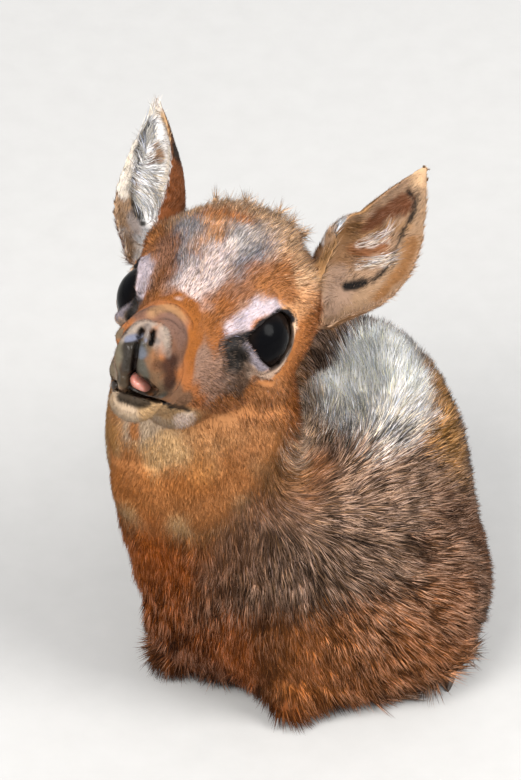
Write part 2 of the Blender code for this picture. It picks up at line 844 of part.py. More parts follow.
def main():
    clear_scene()
    head, jaw, whole = make_head_and_jaw()
    body = fuse("torso", body_pieces(), BODY_VOXEL, BODY_ROUNDS, BODY_TRIANGLES)
    neck = copy_of(body, "neck")
    point, way = HEAD_CUT
    halved(neck, moved_along(point, way, -GAP / 2), way, False)
    point, way = NECK_CUT
    halved(neck, moved_along(point, way, GAP / 2), way, True)
    keep_shell(neck)
    halved(body, moved_along(point, way, -GAP / 2), way, False)
    halved(body, (0, 0, 0), (0, 0, 1), True)
    keep_shell(body)
    shanks = {name: shank_of(name) for name in LEGS}
    for name, shank in shanks.items():
        make_leg(name, body, shank)
    for name, shank in shanks.items():
        part_leg_from(body, name, shank)
        boolean(body, hoof_room(name), "DIFFERENCE")
        bpy.data.objects.remove(shank)
    keep_shell(body)
    grown = swollen(whole, "grown", GAP)
    for side, sign in (("left", 1), ("right", -1)):
        make_eye(f"eye_{side}", sign)
        blade = ear(f"ear_{side}", sign, side)
        boolean(blade, grown, "DIFFERENCE", keep_cutter=True)
        keep_shell(blade)
    tongue_solid("tongue")
    make_feet()
    tail = sweep("tail", TAIL, 12, 14)
    wide = swollen(body, "wide", GAP)
    boolean(tail, wide, "DIFFERENCE")
    keep_shell(tail)
    for extra in (whole, grown):
        bpy.data.objects.remove(extra)
    for obj in bpy.context.scene.objects:
        cleaned(obj)
    place_on_origin()
    paint()


main()
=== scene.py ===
# %% [markdown]
# A very young dik-dik lies curled on the floor and lifts its nose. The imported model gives
# the true outline, coat included. This lesson dresses it: one soft skin under the coat, the
# eyes and the tongue as pieces of their own, and the coat as many thin solid tufts of hair.

# %% Load the frame
import math

import bmesh
import bpy
import numpy as np
from mathutils import Matrix, Vector
from mathutils.bvhtree import BVHTree
from mathutils.kdtree import KDTree


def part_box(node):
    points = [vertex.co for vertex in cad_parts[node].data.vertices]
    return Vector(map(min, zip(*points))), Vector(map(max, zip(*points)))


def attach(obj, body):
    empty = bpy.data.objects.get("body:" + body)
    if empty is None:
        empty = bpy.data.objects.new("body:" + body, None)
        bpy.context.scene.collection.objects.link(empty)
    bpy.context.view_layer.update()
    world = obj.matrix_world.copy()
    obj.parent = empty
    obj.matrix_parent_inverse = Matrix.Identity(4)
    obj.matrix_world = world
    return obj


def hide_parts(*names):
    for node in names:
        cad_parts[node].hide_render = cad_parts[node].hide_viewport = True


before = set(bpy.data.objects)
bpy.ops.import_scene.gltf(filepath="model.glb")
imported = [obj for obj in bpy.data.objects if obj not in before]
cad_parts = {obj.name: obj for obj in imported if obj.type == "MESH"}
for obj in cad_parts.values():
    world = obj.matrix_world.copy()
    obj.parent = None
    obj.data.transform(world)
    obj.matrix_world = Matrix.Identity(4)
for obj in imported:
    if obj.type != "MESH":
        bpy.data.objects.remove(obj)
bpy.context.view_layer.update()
MM = 0.001

# %% [markdown]
# Everything on the head is easiest to place in the head's own directions: so many
# millimetres to its left, forward and up from the middle between the eyes. The head is
# turned and tipped back, so one turning matrix takes those directions to the model's. Its
# place is found from the tongue's solid, whose middle is a known point of the head.

# %% Head directions
HEAD_YAW, HEAD_PITCH, HEAD_ROLL = -22.0, -33.0, 4.7
TONGUE_PLACE = (0.8, 39.5, -21.2)
EYE_LEVEL = np.array([-38.3, -20.0, 140.5])


def turned(degrees, axis):
    return np.array(Matrix.Rotation(math.radians(degrees), 3, axis))


HEAD_TURN = turned(HEAD_YAW, "Z") @ turned(HEAD_PITCH, "X") @ turned(HEAD_ROLL, "Y")


def head_way(left, forward, up):
    """A direction of the head given in the model's directions."""
    return HEAD_TURN @ np.array([left, -forward, up], float)


tongue_box = np.array(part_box("tongue"))
EYE_MIDDLE = tongue_box.mean(axis=0) - head_way(*TONGUE_PLACE) * MM
SHIFT = EYE_MIDDLE - EYE_LEVEL * MM


def from_head(left, forward, up):
    """A point of the head, given in millimetres, in the model's metres."""
    return EYE_MIDDLE + head_way(left, forward, up) * MM


def in_head(points):
    """Left, forward and up of the head in millimetres, for many points."""
    local = (np.atleast_2d(points) - EYE_MIDDLE) / MM @ HEAD_TURN
    return local * [1, -1, 1]


print("the head's middle stands at", (EYE_MIDDLE / MM).round(1), "mm")

# %% [markdown]
# The camera looks down at the fawn from nearly two metres away with a long lens, so the
# picture is nearly flat. Setting it up first lets the later steps ask which spot of the
# animal lies under a pixel of the photograph.

# %% Camera
PHOTO_WIDTH, PHOTO_HEIGHT = 521, 780
LOOK_DOWN = math.radians(40)
CAMERA_DISTANCE = 1.8
METRES_PER_PIXEL = 0.000325
# The photo's middle lies this many pixels to the right of the curl's middle, and above it
AIM_RIGHT, AIM_UP = -59.5, 222.0
PICTURE_RIGHT = np.array([1.0, 0.0, 0.0])
PICTURE_UP = np.array([0.0, math.sin(LOOK_DOWN), math.cos(LOOK_DOWN)])
LOOK = np.array([0.0, math.cos(LOOK_DOWN), -math.sin(LOOK_DOWN)])
AIM = SHIFT + (PICTURE_RIGHT * AIM_RIGHT + PICTURE_UP * AIM_UP) * METRES_PER_PIXEL
CAMERA_PLACE = AIM - LOOK * CAMERA_DISTANCE
SENSOR = 36.0
NEAREST, FURTHEST = 0.05, 20.0


def linked(name, data):
    """A new object in the scene."""
    made = bpy.data.objects.new(name, data)
    bpy.context.scene.collection.objects.link(made)
    return made


def set_camera():
    data = bpy.data.cameras.new("camera")
    camera = linked("camera", data)
    data.sensor_fit = "VERTICAL"
    data.sensor_height = SENSOR
    data.lens = SENSOR * CAMERA_DISTANCE / METRES_PER_PIXEL / PHOTO_HEIGHT
    data.clip_start, data.clip_end = NEAREST, FURTHEST
    axes = Matrix((PICTURE_RIGHT, PICTURE_UP, -LOOK)).transposed()
    camera.matrix_world = Matrix.Translation(CAMERA_PLACE) @ axes.to_4x4()
    bpy.context.scene.camera = camera
    return camera


camera = set_camera()
print("lens:", round(camera.data.lens, 1), "mm")


def ray_through(x, y):
    """The way of the line of sight through a pixel of the photograph."""
    across = (x - PHOTO_WIDTH / 2) * METRES_PER_PIXEL
    above = (PHOTO_HEIGHT / 2 - y) * METRES_PER_PIXEL
    way = LOOK * CAMERA_DISTANCE + PICTURE_RIGHT * across + PICTURE_UP * above
    return way / np.linalg.norm(way)


# %% [markdown]
# The skin is one piece, so that no seam shows between head, neck and trunk. The flesh
# solids are copied, swollen by a hair's breadth so that they touch, and fused by a voxel
# remesh, which rebuilds everything as one even net of small squares.

# %% Fuse the flesh
BARE = ("eye", "tongue", "hoof")
FLESH = sorted(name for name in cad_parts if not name.startswith(BARE))
TOUCH = 0.00035
SKIN_VOXEL = 0.00095


def merged(name):
    """Points and faces of a solid's copy with its loose triangles joined."""
    bm = bmesh.new()
    bm.from_mesh(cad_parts[name].data)
    bmesh.ops.remove_doubles(bm, verts=bm.verts[:], dist=1e-6)
    bm.normal_update()
    places = [np.array(v.co) + np.array(v.normal) * TOUCH for v in bm.verts]
    faces = [[v.index for v in f.verts] for f in bm.faces]
    bm.free()
    return places, faces


def joined_flesh():
    """All the flesh in one list of points and faces, and the solid that each face is from."""
    places, faces, owner = [], [], []
    for number, name in enumerate(FLESH):
        own_places, own_faces = merged(name)
        start = len(places)
        places += own_places
        faces += [[start + k for k in face] for face in own_faces]
        owner += [number] * len(own_faces)
    return np.array(places), faces, np.array(owner)


def apply_modifiers(piece):
    """Gives a piece the mesh that its modifiers make."""
    seen = piece.evaluated_get(bpy.context.evaluated_depsgraph_get())
    mesh = bpy.data.meshes.new_from_object(seen)
    piece.modifiers.clear()
    piece.vertex_groups.clear()
    piece.data = mesh


def tree_of(points, faces):
    """A search tree over a net of faces."""
    return BVHTree.FromPolygons([tuple(p) for p in points], faces)


flesh_places, flesh_faces, flesh_owner = joined_flesh()
rough = bpy.data.meshes.new("rough")
rough.from_pydata([tuple(p) for p in flesh_places], [], flesh_faces)
skin = linked("skin", rough)
fusing = skin.modifiers.new("fusing", "REMESH")
fusing.mode = "VOXEL"
fusing.voxel_size = SKIN_VOXEL
apply_modifiers(skin)
bpy.data.meshes.remove(rough)
print("fused skin:", len(skin.data.vertices), "points")

# %% [markdown]
# A remesh also closes off small hollows inside the body. Only the outer surface is kept.
# From here on the skin's points are worked on as arrays, which is far quicker than
# touching them one by one.

# %% Keep the outer surface
def outer_surface(mesh):
    """Keeps the mesh's largest closed surface."""
    bm = bmesh.new()
    bm.from_mesh(mesh)
    bm.verts.ensure_lookup_table()
    unseen = set(range(len(bm.verts)))
    largest = set()
    while unseen:
        start = unseen.pop()
        reached, edge_of = {start}, [start]
        while edge_of:
            for edge in bm.verts[edge_of.pop()].link_edges:
                for end in edge.verts:
                    if end.index in unseen:
                        unseen.discard(end.index)
                        reached.add(end.index)
                        edge_of.append(end.index)
        if len(reached) > len(largest):
            largest = reached
    extra = [v for v in bm.verts if v.index not in largest]
    bmesh.ops.delete(bm, geom=extra, context="VERTS")
    bm.to_mesh(mesh)
    bm.free()


def read_places(mesh):
    flat = np.empty(len(mesh.vertices) * 3)
    mesh.vertices.foreach_get("co", flat)
    return flat.reshape(-1, 3)


def read_normals(mesh):
    flat = np.empty(len(mesh.vertices) * 3, np.float32)
    mesh.vertex_normals.foreach_get("vector", flat)
    return flat.reshape(-1, 3).astype(float)


def write_places(mesh, places):
    mesh.vertices.foreach_set("co", places.astype(np.float32).ravel())
    mesh.update()


outer_surface(skin.data)
flesh_net = tree_of(flesh_places, flesh_faces)


def flesh_at(points):
    """The number of the solid that lies nearest to each point."""
    return flesh_owner[np.array([flesh_net.find_nearest(p)[2] for p in points])]


# %% [markdown]
# An even net is too fine under the long coat and too coarse for nostrils and lids. The
# trunk's net is thinned, and the squares of the muzzle's and the lids' are halved.

# %% Thin and refine the net
THINNED_SHARE = 0.42
MUZZLE_FROM, MUZZLE_ABOVE = 24.0, -40.0
LID_REACH = 17.0
EYE_PLACE = (16.4, -5.6, -0.8)
EYE_ASPECT = (0.82, 0.56, 0.10)
EYE_RADIUS = 11.6
SIDES = {"left": 1, "right": -1}
EYE = {side: from_head(sign * EYE_PLACE[0], *EYE_PLACE[1:]) for side, sign in SIDES.items()}


def off_eye(points):
    """Millimetres from the nearer eye's middle."""
    return np.min([np.linalg.norm(points - EYE[side], axis=1) for side in SIDES], axis=0) / MM


def thinned(piece):
    """Thins the net wherever the trunk, neck, legs and tail are."""
    shown = ("head", "lower_jaw", "ear")
    furred = [k for k, name in enumerate(FLESH) if not name.startswith(shown)]
    under_fur = np.flatnonzero(np.isin(flesh_at(read_places(piece.data)), furred))
    group = piece.vertex_groups.new(name="under_fur")
    group.add([int(k) for k in under_fur], 1.0, "REPLACE")
    thin = piece.modifiers.new("thin", "DECIMATE")
    thin.ratio = THINNED_SHARE
    thin.vertex_group = group.name
    apply_modifiers(piece)


def refined(mesh):
    """Halves the net's squares on the muzzle and round the eyes."""
    points = read_places(mesh)
    local = in_head(points)
    face = (local[:, 1] > MUZZLE_FROM) & (local[:, 2] > MUZZLE_ABOVE)
    face |= off_eye(points) < LID_REACH
    bm = bmesh.new()
    bm.from_mesh(mesh)
    bm.verts.ensure_lookup_table()
    edges = [e for e in bm.edges if face[e.verts[0].index] and face[e.verts[1].index]]
    bmesh.ops.subdivide_edges(bm, edges=edges, cuts=1, use_grid_fill=True)
    bmesh.ops.triangulate(bm, faces=[f for f in bm.faces if len(f.verts) > 4])
    axes = {f"use_axis_{axis}": True for axis in "xyz"}
    bmesh.ops.smooth_vert(bm, verts=bm.verts[:], factor=0.5, **axes)
    bm.to_mesh(mesh)
    bm.free()


thinned(skin)
refined(skin.data)
net = np.empty(len(skin.data.edges) * 2, int)
skin.data.edges.foreach_get("vertices", net)
net = net.reshape(-1, 2)
places = read_places(skin.data)
degree = np.maximum(np.bincount(net.ravel(), minlength=len(places)), 1)
print("outer surface:", len(places), "points,", len(skin.data.polygons), "faces")

# %% [markdown]
# The later steps need values that fade softly over the skin, such as how much of a point
# belongs to the head. A value is spread by mixing each point with its neighbours, and the
# same mixing of places smooths the skin.

# %% Spread values over the skin
def neighbours_mean(values):
    """The mean of each point's neighbours, for one value or several to a point."""
    columns = values.reshape(len(values), -1)
    total = np.zeros_like(columns)
    for column in range(columns.shape[1]):
        one = columns[:, column]
        total[:, column] = np.bincount(net[:, 0], one[net[:, 1]], len(one))
        total[:, column] += np.bincount(net[:, 1], one[net[:, 0]], len(one))
    return (total / degree[:, None]).reshape(values.shape)


def spread(values, rounds):
    """Evens out values over the skin."""
    for _ in range(rounds):
        values = 0.5 * values + 0.5 * neighbours_mean(values)
    return values


def eased(places, strength):
    """Draws points towards the middle of their neighbours."""
    return places + (neighbours_mean(places) - places) * strength[:, None]


def ease(x):
    """0 below 0, 1 above 1, and a soft climb between."""
    x = np.clip(x, 0, 1)
    return x * x * (3 - 2 * x)


owner = flesh_at(places)
share = {name: spread((owner == k).astype(float), 6) for k, name in enumerate(FLESH)}
EARS = share["ear_left"] + share["ear_right"]
HEAD = share["head"] + share["lower_jaw"]
LEGS = sum(share[name] for name in FLESH if "leg" in name)
print("points on the ears:", int(EARS.sum()), "on the head and jaw:", int(HEAD.sum()))

# %% [markdown]
# The solids are faceted, and the coat's depth has to come off before hair goes on. The
# trunk is smoothed hard, because fur hides it, while the face keeps its form. Then every
# point sinks inwards by as much as the coat is deep there: half a centimetre on the trunk,
# about a millimetre on the cheeks, and almost nothing on the muzzle, lids and ears.

# %% Smooth the skin and sink it by the coat's depth
def even_out(places, strength, rounds):
    """Smooths without shrinking: a step in and a slightly larger step back out."""
    for k in range(rounds):
        step = 0.5 if k % 2 == 0 else -0.52
        places = eased(places, step * strength)
    return places


# The lower lip closes up towards the upper one
CHIN_RISE = (0.4, 2.5)
chin = share["lower_jaw"] * ease((in_head(places)[:, 1] - 22) / 14)
places = places + chin[:, None] * head_way(0.0, *CHIN_RISE) * MM
BODY_COAT, TAIL_COAT, NECK_COAT, CHEEK_COAT, JAW_COAT, LEG_COAT = 4.6, 2.5, 3.8, 1.3, 1.8, 1.5
BARE_COAT = 0.3
EVEN_ROUNDS, MEETING_ROUNDS = 30, 60
local = in_head(places)
muzzle = ease((local[:, 1] - 12) / 22) * HEAD
near_eye = 1 - ease((off_eye(places) - 13.5) / 6)
soft = np.clip(share["torso"] + share["neck"] + share["tail"] + LEGS, 0, 1)
firm = np.clip(0.45 + soft - 0.3 * near_eye, 0.15, 1)
places = even_out(places, firm, EVEN_ROUNDS)
trunk_share = share["torso"] + share["tail"]
groups = [HEAD, share["neck"], trunk_share] + [share[name] for name in FLESH if "leg" in name]
meeting = ease((1 - sum(group ** 2 for group in groups)) * 2.4) * (1 - np.clip(EARS * 3, 0, 1))
meeting = spread(meeting, 5) * soft * (1 - 0.75 * spread(LEGS, 4))
for _ in range(MEETING_ROUNDS):
    places = eased(places, 0.55 * np.clip(meeting * 1.4, 0, 1))
places = places + (spread(places, 4) - places) * soft[:, None]
coat_depth = (
    share["torso"] * BODY_COAT + share["tail"] * TAIL_COAT + share["neck"] * NECK_COAT
    + share["head"] * CHEEK_COAT + share["lower_jaw"] * JAW_COAT + LEGS * LEG_COAT + EARS * BARE_COAT
)
coat_depth = coat_depth + (BARE_COAT - coat_depth) * np.maximum(muzzle, near_eye * HEAD)
coat_depth = spread(coat_depth, 10)
write_places(skin.data, places)
places = places - read_normals(skin.data) * (coat_depth * MM)[:, None]
write_places(skin.data, places)
print("coat's depth from", coat_depth.min().round(2), "to", coat_depth.max().round(2), "mm")

# %% [markdown]
# A pixel of the photograph says where a fold or a marking is. A line of sight through that
# pixel meets the skin at one spot, and a spot on the head is mirrored to its other side.

# %% Find spots under the photo's pixels
def skin_tree():
    return tree_of(places, [p.vertices[:] for p in skin.data.polygons])


sight = skin_tree()


def seen(x, y):
    """The skin's spot under a pixel, or the nearest one to the line, and the way it faces."""
    way = ray_through(x, y)
    hit, normal = sight.ray_cast(Vector(CAMERA_PLACE), Vector(way))[:2]
    if hit is None:
        hit, normal = sight.find_nearest(Vector(CAMERA_PLACE + way * CAMERA_DISTANCE))[:2]
    return np.array(hit), np.array(normal)


def under_pixel(x, y):
    return seen(x, y)[0]


def under_pixels(pixels):
    return np.array([under_pixel(x, y) for x, y in pixels])


def mirrored(spots):
    """The same spots on the head's other side."""
    local = in_head(spots) * [-1, 1, 1]
    return np.array([from_head(*p) for p in local])


def off_line(points, spots):
    """Millimetres from points to a bent line through spots."""
    spots = np.asarray(spots)
    if len(spots) == 1:
        return np.linalg.norm(points - spots[0], axis=1) / MM
    nearest = np.full(len(points), np.inf)
    for a, b in zip(spots[:-1], spots[1:]):
        along = b - a
        t = np.clip((points - a) @ along / max(along @ along, 1e-12), 0, 1)
        nearest = np.minimum(nearest, np.linalg.norm(points - a - t[:, None] * along, axis=1))
    return nearest / MM


def touch(points, pixels, radius, soft, both=False):
    """How strongly a stroke of the brush over some pixels touches points, from 0 to 1."""
    spots = under_pixels(pixels)
    reach = off_line(points, spots)
    if both:
        reach = np.minimum(reach, off_line(points, mirrored(spots)))
    return 1 - ease((reach - radius) / soft)


def touch_any(points, *strokes):
    """The strongest of several touches; each stroke has its pixels, radius and softness."""
    return np.max([touch(points, *stroke) for stroke in strokes], axis=0)


print("nose under pixel 146, 330:", in_head(under_pixel(146, 330))[0].round(1), "in head mm")

# %% [markdown]
# The face's folds are carved by strokes too: each one pushes the skin out or in along a
# short line. A fawn's nose is a soft bulb behind two comma-shaped nostrils, the upper lip
# hangs in two lobes, and a fold crosses the bridge of the nose.

# %% Carve the face
# Height in millimetres, radius, softness, on both sides or not, and the stroke's pixels
CARVING = {
    "fold over the nose": (0.8, 0.3, 3.0, False,
        [(150, 312), (160, 306), (172, 307), (182, 314), (188, 323)]),
    "dip before the fold": (-0.7, 0.2, 2.6, False, [(153, 318), (165, 316), (176, 322)]),
    "bulb of the nose": (0.9, 2.0, 5.0, False, [(172, 332), (178, 340)]),
    "rim of the nostrils": (0.45, 0.3, 1.3, False,
        [(115, 366), (117, 352), (120, 343), (128, 334), (138, 325), (147, 322), (158, 326), (166, 337),
         (167, 350)]),
    "nose pad": (-0.45, 0.6, 1.8, False, [(134, 340), (146, 333), (156, 338)]),
    "outer side of the muzzle": (-1.6, 1.5, 3.2, False, [(112, 345), (110, 360), (112, 376)]),
    "left nostril": (-2.4, 0.5, 0.8, False, [(141.5, 329.5), (138.5, 335.5)]),
    "right nostril": (-2.4, 0.45, 0.8, False, [(153.5, 331.5), (153, 337), (150.5, 344)]),
    "septum": (0.5, 0.3, 0.9, False, [(147, 328), (146, 336), (144, 343)]),
    "left lip lobe": (1.1, 1.3, 3.0, False, [(146, 350), (146, 366), (153, 384)]),
    "right lip lobe": (1.0, 1.5, 3.0, False, [(125, 350), (122, 365), (123, 380)]),
    "groove of the lip": (-1.6, 0.2, 1.3, False, [(137, 343), (136, 355), (135, 368), (134, 376)]),
    "corner of the mouth": (-0.6, 0.2, 1.6, True, [(176, 404), (189, 411)]),
    "far corner of the mouth": (-1.6, 0.8, 1.6, False, [(111, 388)]),
    "far side by the nostril": (-2.4, 1.2, 2.4, False, [(119, 330), (117, 338)]),
    "hollow of the muzzle": (-0.7, 2.0, 4.5, True, [(172, 362), (176, 376)]),
    "lower lip": (0.5, 0.4, 2.4, False, [(122, 396), (142, 400), (165, 407)]),
    "gland before the eye": (-0.9, 1.2, 2.6, True, [(229, 350), (233, 362)]),
    "brow": (0.9, 1.2, 3.6, True, [(236, 325), (250, 311), (268, 301)]),
    "upper lid": (0.5, 0.3, 1.0, True, [(250, 328), (263, 317), (281, 307), (293, 315)]),
    "lid behind the eye": (0.45, 0.3, 1.2, True, [(294, 320), (290, 340), (283, 358), (277, 370)]),
    "lower lid": (0.9, 0.7, 1.6, True, [(245, 350), (253, 361), (263, 370)]),
    "crease under the lid": (-0.7, 0.1, 1.4, True, [(238, 354), (246, 369), (258, 380), (270, 383)]),
}
# The trunk's larger changes are written in the same way
FULLNESS = {
    "brisket": (4.6, 6.0, 9.0, False, [(172, 655), (200, 668), (235, 684), (262, 694)]),
    "flank over the wrist": (2.0, 4.0, 8.0, False, [(290, 698), (330, 694)]),
    "side of the chest": (2.9, 5.0, 11.0, False, [(136, 500), (141, 540), (148, 576)]),
    "front of the wrist": (-3.6, 4.0, 7.0, False, [(143, 626), (146, 652)]),
    "under the chin": (2.6, 1.0, 12.0, False, [(124, 424), (142, 428), (160, 424), (176, 419)]),
    "cheek hair": (0.8, 4.0, 7.0, True, [(285, 410), (300, 380)]),
}
# Where two forms run softly into each other: radius, softness, rounds and pixels
MELTING = {
    "chin into the throat": (3.0, 7.0, 110, [(122, 424), (142, 430), (162, 427), (180, 424)]),
    "corner of the mouth": (2.4, 3.0, 60, [(164, 412), (176, 412), (187, 414)]),
    "far corner": (1.8, 2.0, 70, [(111, 388)]),
    "far lip into the lobe": (1.6, 2.4, 30, [(113, 362), (114, 376)]),
    "wrist into the chest": (8.0, 9.0, 50, [(150, 625), (165, 658), (200, 672)]),
}
lift = np.zeros(len(places))
for height, radius, softness, both, pixels in [*CARVING.values(), *FULLNESS.values()]:
    lift += height * touch(places, pixels, radius, softness, both)
places = places + read_normals(skin.data) * (lift * MM)[:, None]
# The upper lip parts in the middle, where the tongue shows
LIP_NOTCH = (-5.0, 2.0)
notch = touch(places, [(134, 379), (142, 385), (149, 391)], 1.9, 1.0) * share["head"]
places = places + notch[:, None] * head_way(0.0, *LIP_NOTCH) * MM
# The front edge of the near ear starts further out
EDGE_SHIFT = (-2.2, 1.0)
front_edge = touch(places, [(330, 262), (338, 246), (350, 228)], 2.5, 5.0) * share["ear_left"]
edge_way = (PICTURE_RIGHT * EDGE_SHIFT[0] + PICTURE_UP * EDGE_SHIFT[1]) * MM
places = places + front_edge[:, None] * edge_way
for radius, softness, rounds, pixels in MELTING.values():
    cover = touch(places, pixels, radius, softness)
    for _ in range(rounds):
        places = eased(places, 0.5 * cover)
SKIN_ABOVE_FLOOR = 0.0001
places[:, 2] = np.maximum(places[:, 2], SKIN_ABOVE_FLOOR)
write_places(skin.data, places)
skin_normals = read_normals(skin.data)
sight = skin_tree()
print("carved by", lift.min().round(2), "to", lift.max().round(2), "mm")

# %% [markdown]
# Ears need directions of their own. Each is a leaf bent into a cup. How far along the leaf
# a spot lies, and on which face of it, decides whether it gets white inner hair, a tan
# rim or the brown coat of the back.

# %% Ear directions
EAR_ROOT = {"left": (31.0, -20.5, 8.2), "right": (31.5, -19.0, 9.0)}
EAR_WAY = {"left": (9.5, -24, 43), "right": (15.5, -29.5, 37.5)}
EAR_OPEN_TO = {"left": (0.70, 0.68, 0.22), "right": (0.61, 0.73, 0.32)}
EAR_LENGTH = {"left": 60.0, "right": 58.0}
EAR_BOW = {"left": 4.0, "right": 1.5}
CUP_MIDDLE = 4.0


def unit(v):
    return v / np.maximum(np.linalg.norm(v, axis=-1, keepdims=True), 1e-12)


def ear_axes(side):
    """The ear's root, its long way, the way it opens and the way across it."""
    sign = SIDES[side]
    root = from_head(sign * EAR_ROOT[side][0], *EAR_ROOT[side][1:])
    axis = unit(head_way(sign * EAR_WAY[side][0], *EAR_WAY[side][1:]))
    front = head_way(sign * EAR_OPEN_TO[side][0], *EAR_OPEN_TO[side][1:])
    front = unit(front - axis * front.dot(axis))
    return root, axis, front, np.cross(axis, front) * sign


def ear_spot(points, side):
    """Share of the ear's length, and millimetres outwards and forwards of its middle line."""
    root, axis, front, across = ear_axes(side)
    along = (points - root) @ axis / MM / EAR_LENGTH[side]
    bow = EAR_BOW[side] * np.sin(math.pi * np.clip(along, 0, 1))
    return along, (points - root) @ across / MM - bow, (points - root) @ front / MM


def ear_inside(points, normals, side):
    """1 where the skin faces the hollow of the cup, 0 on its back."""
    _, _, front, across = ear_axes(side)
    _, out, ahead = ear_spot(points, side)
    towards = -out[:, None] * across - (ahead - CUP_MIDDLE)[:, None] * front
    return ease(np.sum(unit(towards) * normals, axis=1) * 2 + 0.2)


inside = sum(ear_inside(places, skin_normals, side) * share[f"ear_{side}"] for side in SIDES)
print("points inside the ears:", int(inside.sum()))

# %% [markdown]
# Colour comes as named markings, laid in order over a ground colour, on skin and hair
# alike. Each is a soft stroke with a wavering edge. Colours are written as they look on a
# screen and turned into the linear values that Blender mixes.

# %% Palette
def paint(code):
    """A screen colour such as b36a37 as linear red, green and blue."""
    channels = [int(code[k:k + 2], 16) / 255 for k in (0, 2, 4)]
    return np.array([c / 12.92 if c <= 0.04045 else ((c + 0.055) / 1.055) ** 2.4 for c in channels])


def ripple(points, size, seed):
    """A smooth wavering value from about -1 to 1; size is its wavelength in millimetres."""
    draw = np.random.default_rng(seed)
    total = np.zeros(len(points))
    for _ in range(7):
        way = unit(draw.normal(size=3)) * (2 * math.pi / (size * MM * draw.uniform(0.7, 1.5)))
        total += np.sin(points @ way + draw.uniform(0, 2 * math.pi))
    return total / 2.6


GROUND = {
    "torso": "80634f", "neck": "9a5c2e", "head": "a66434", "lower_jaw": "b08e66", "tail": "84603f",
    "foreleg_left": "6d4123", "foreleg_right": "7a4c2b", "hindleg_left": "754a2c",
    "hindleg_right": "754a2c", "ear_left": "9a7450", "ear_right": "8a5c38",
}
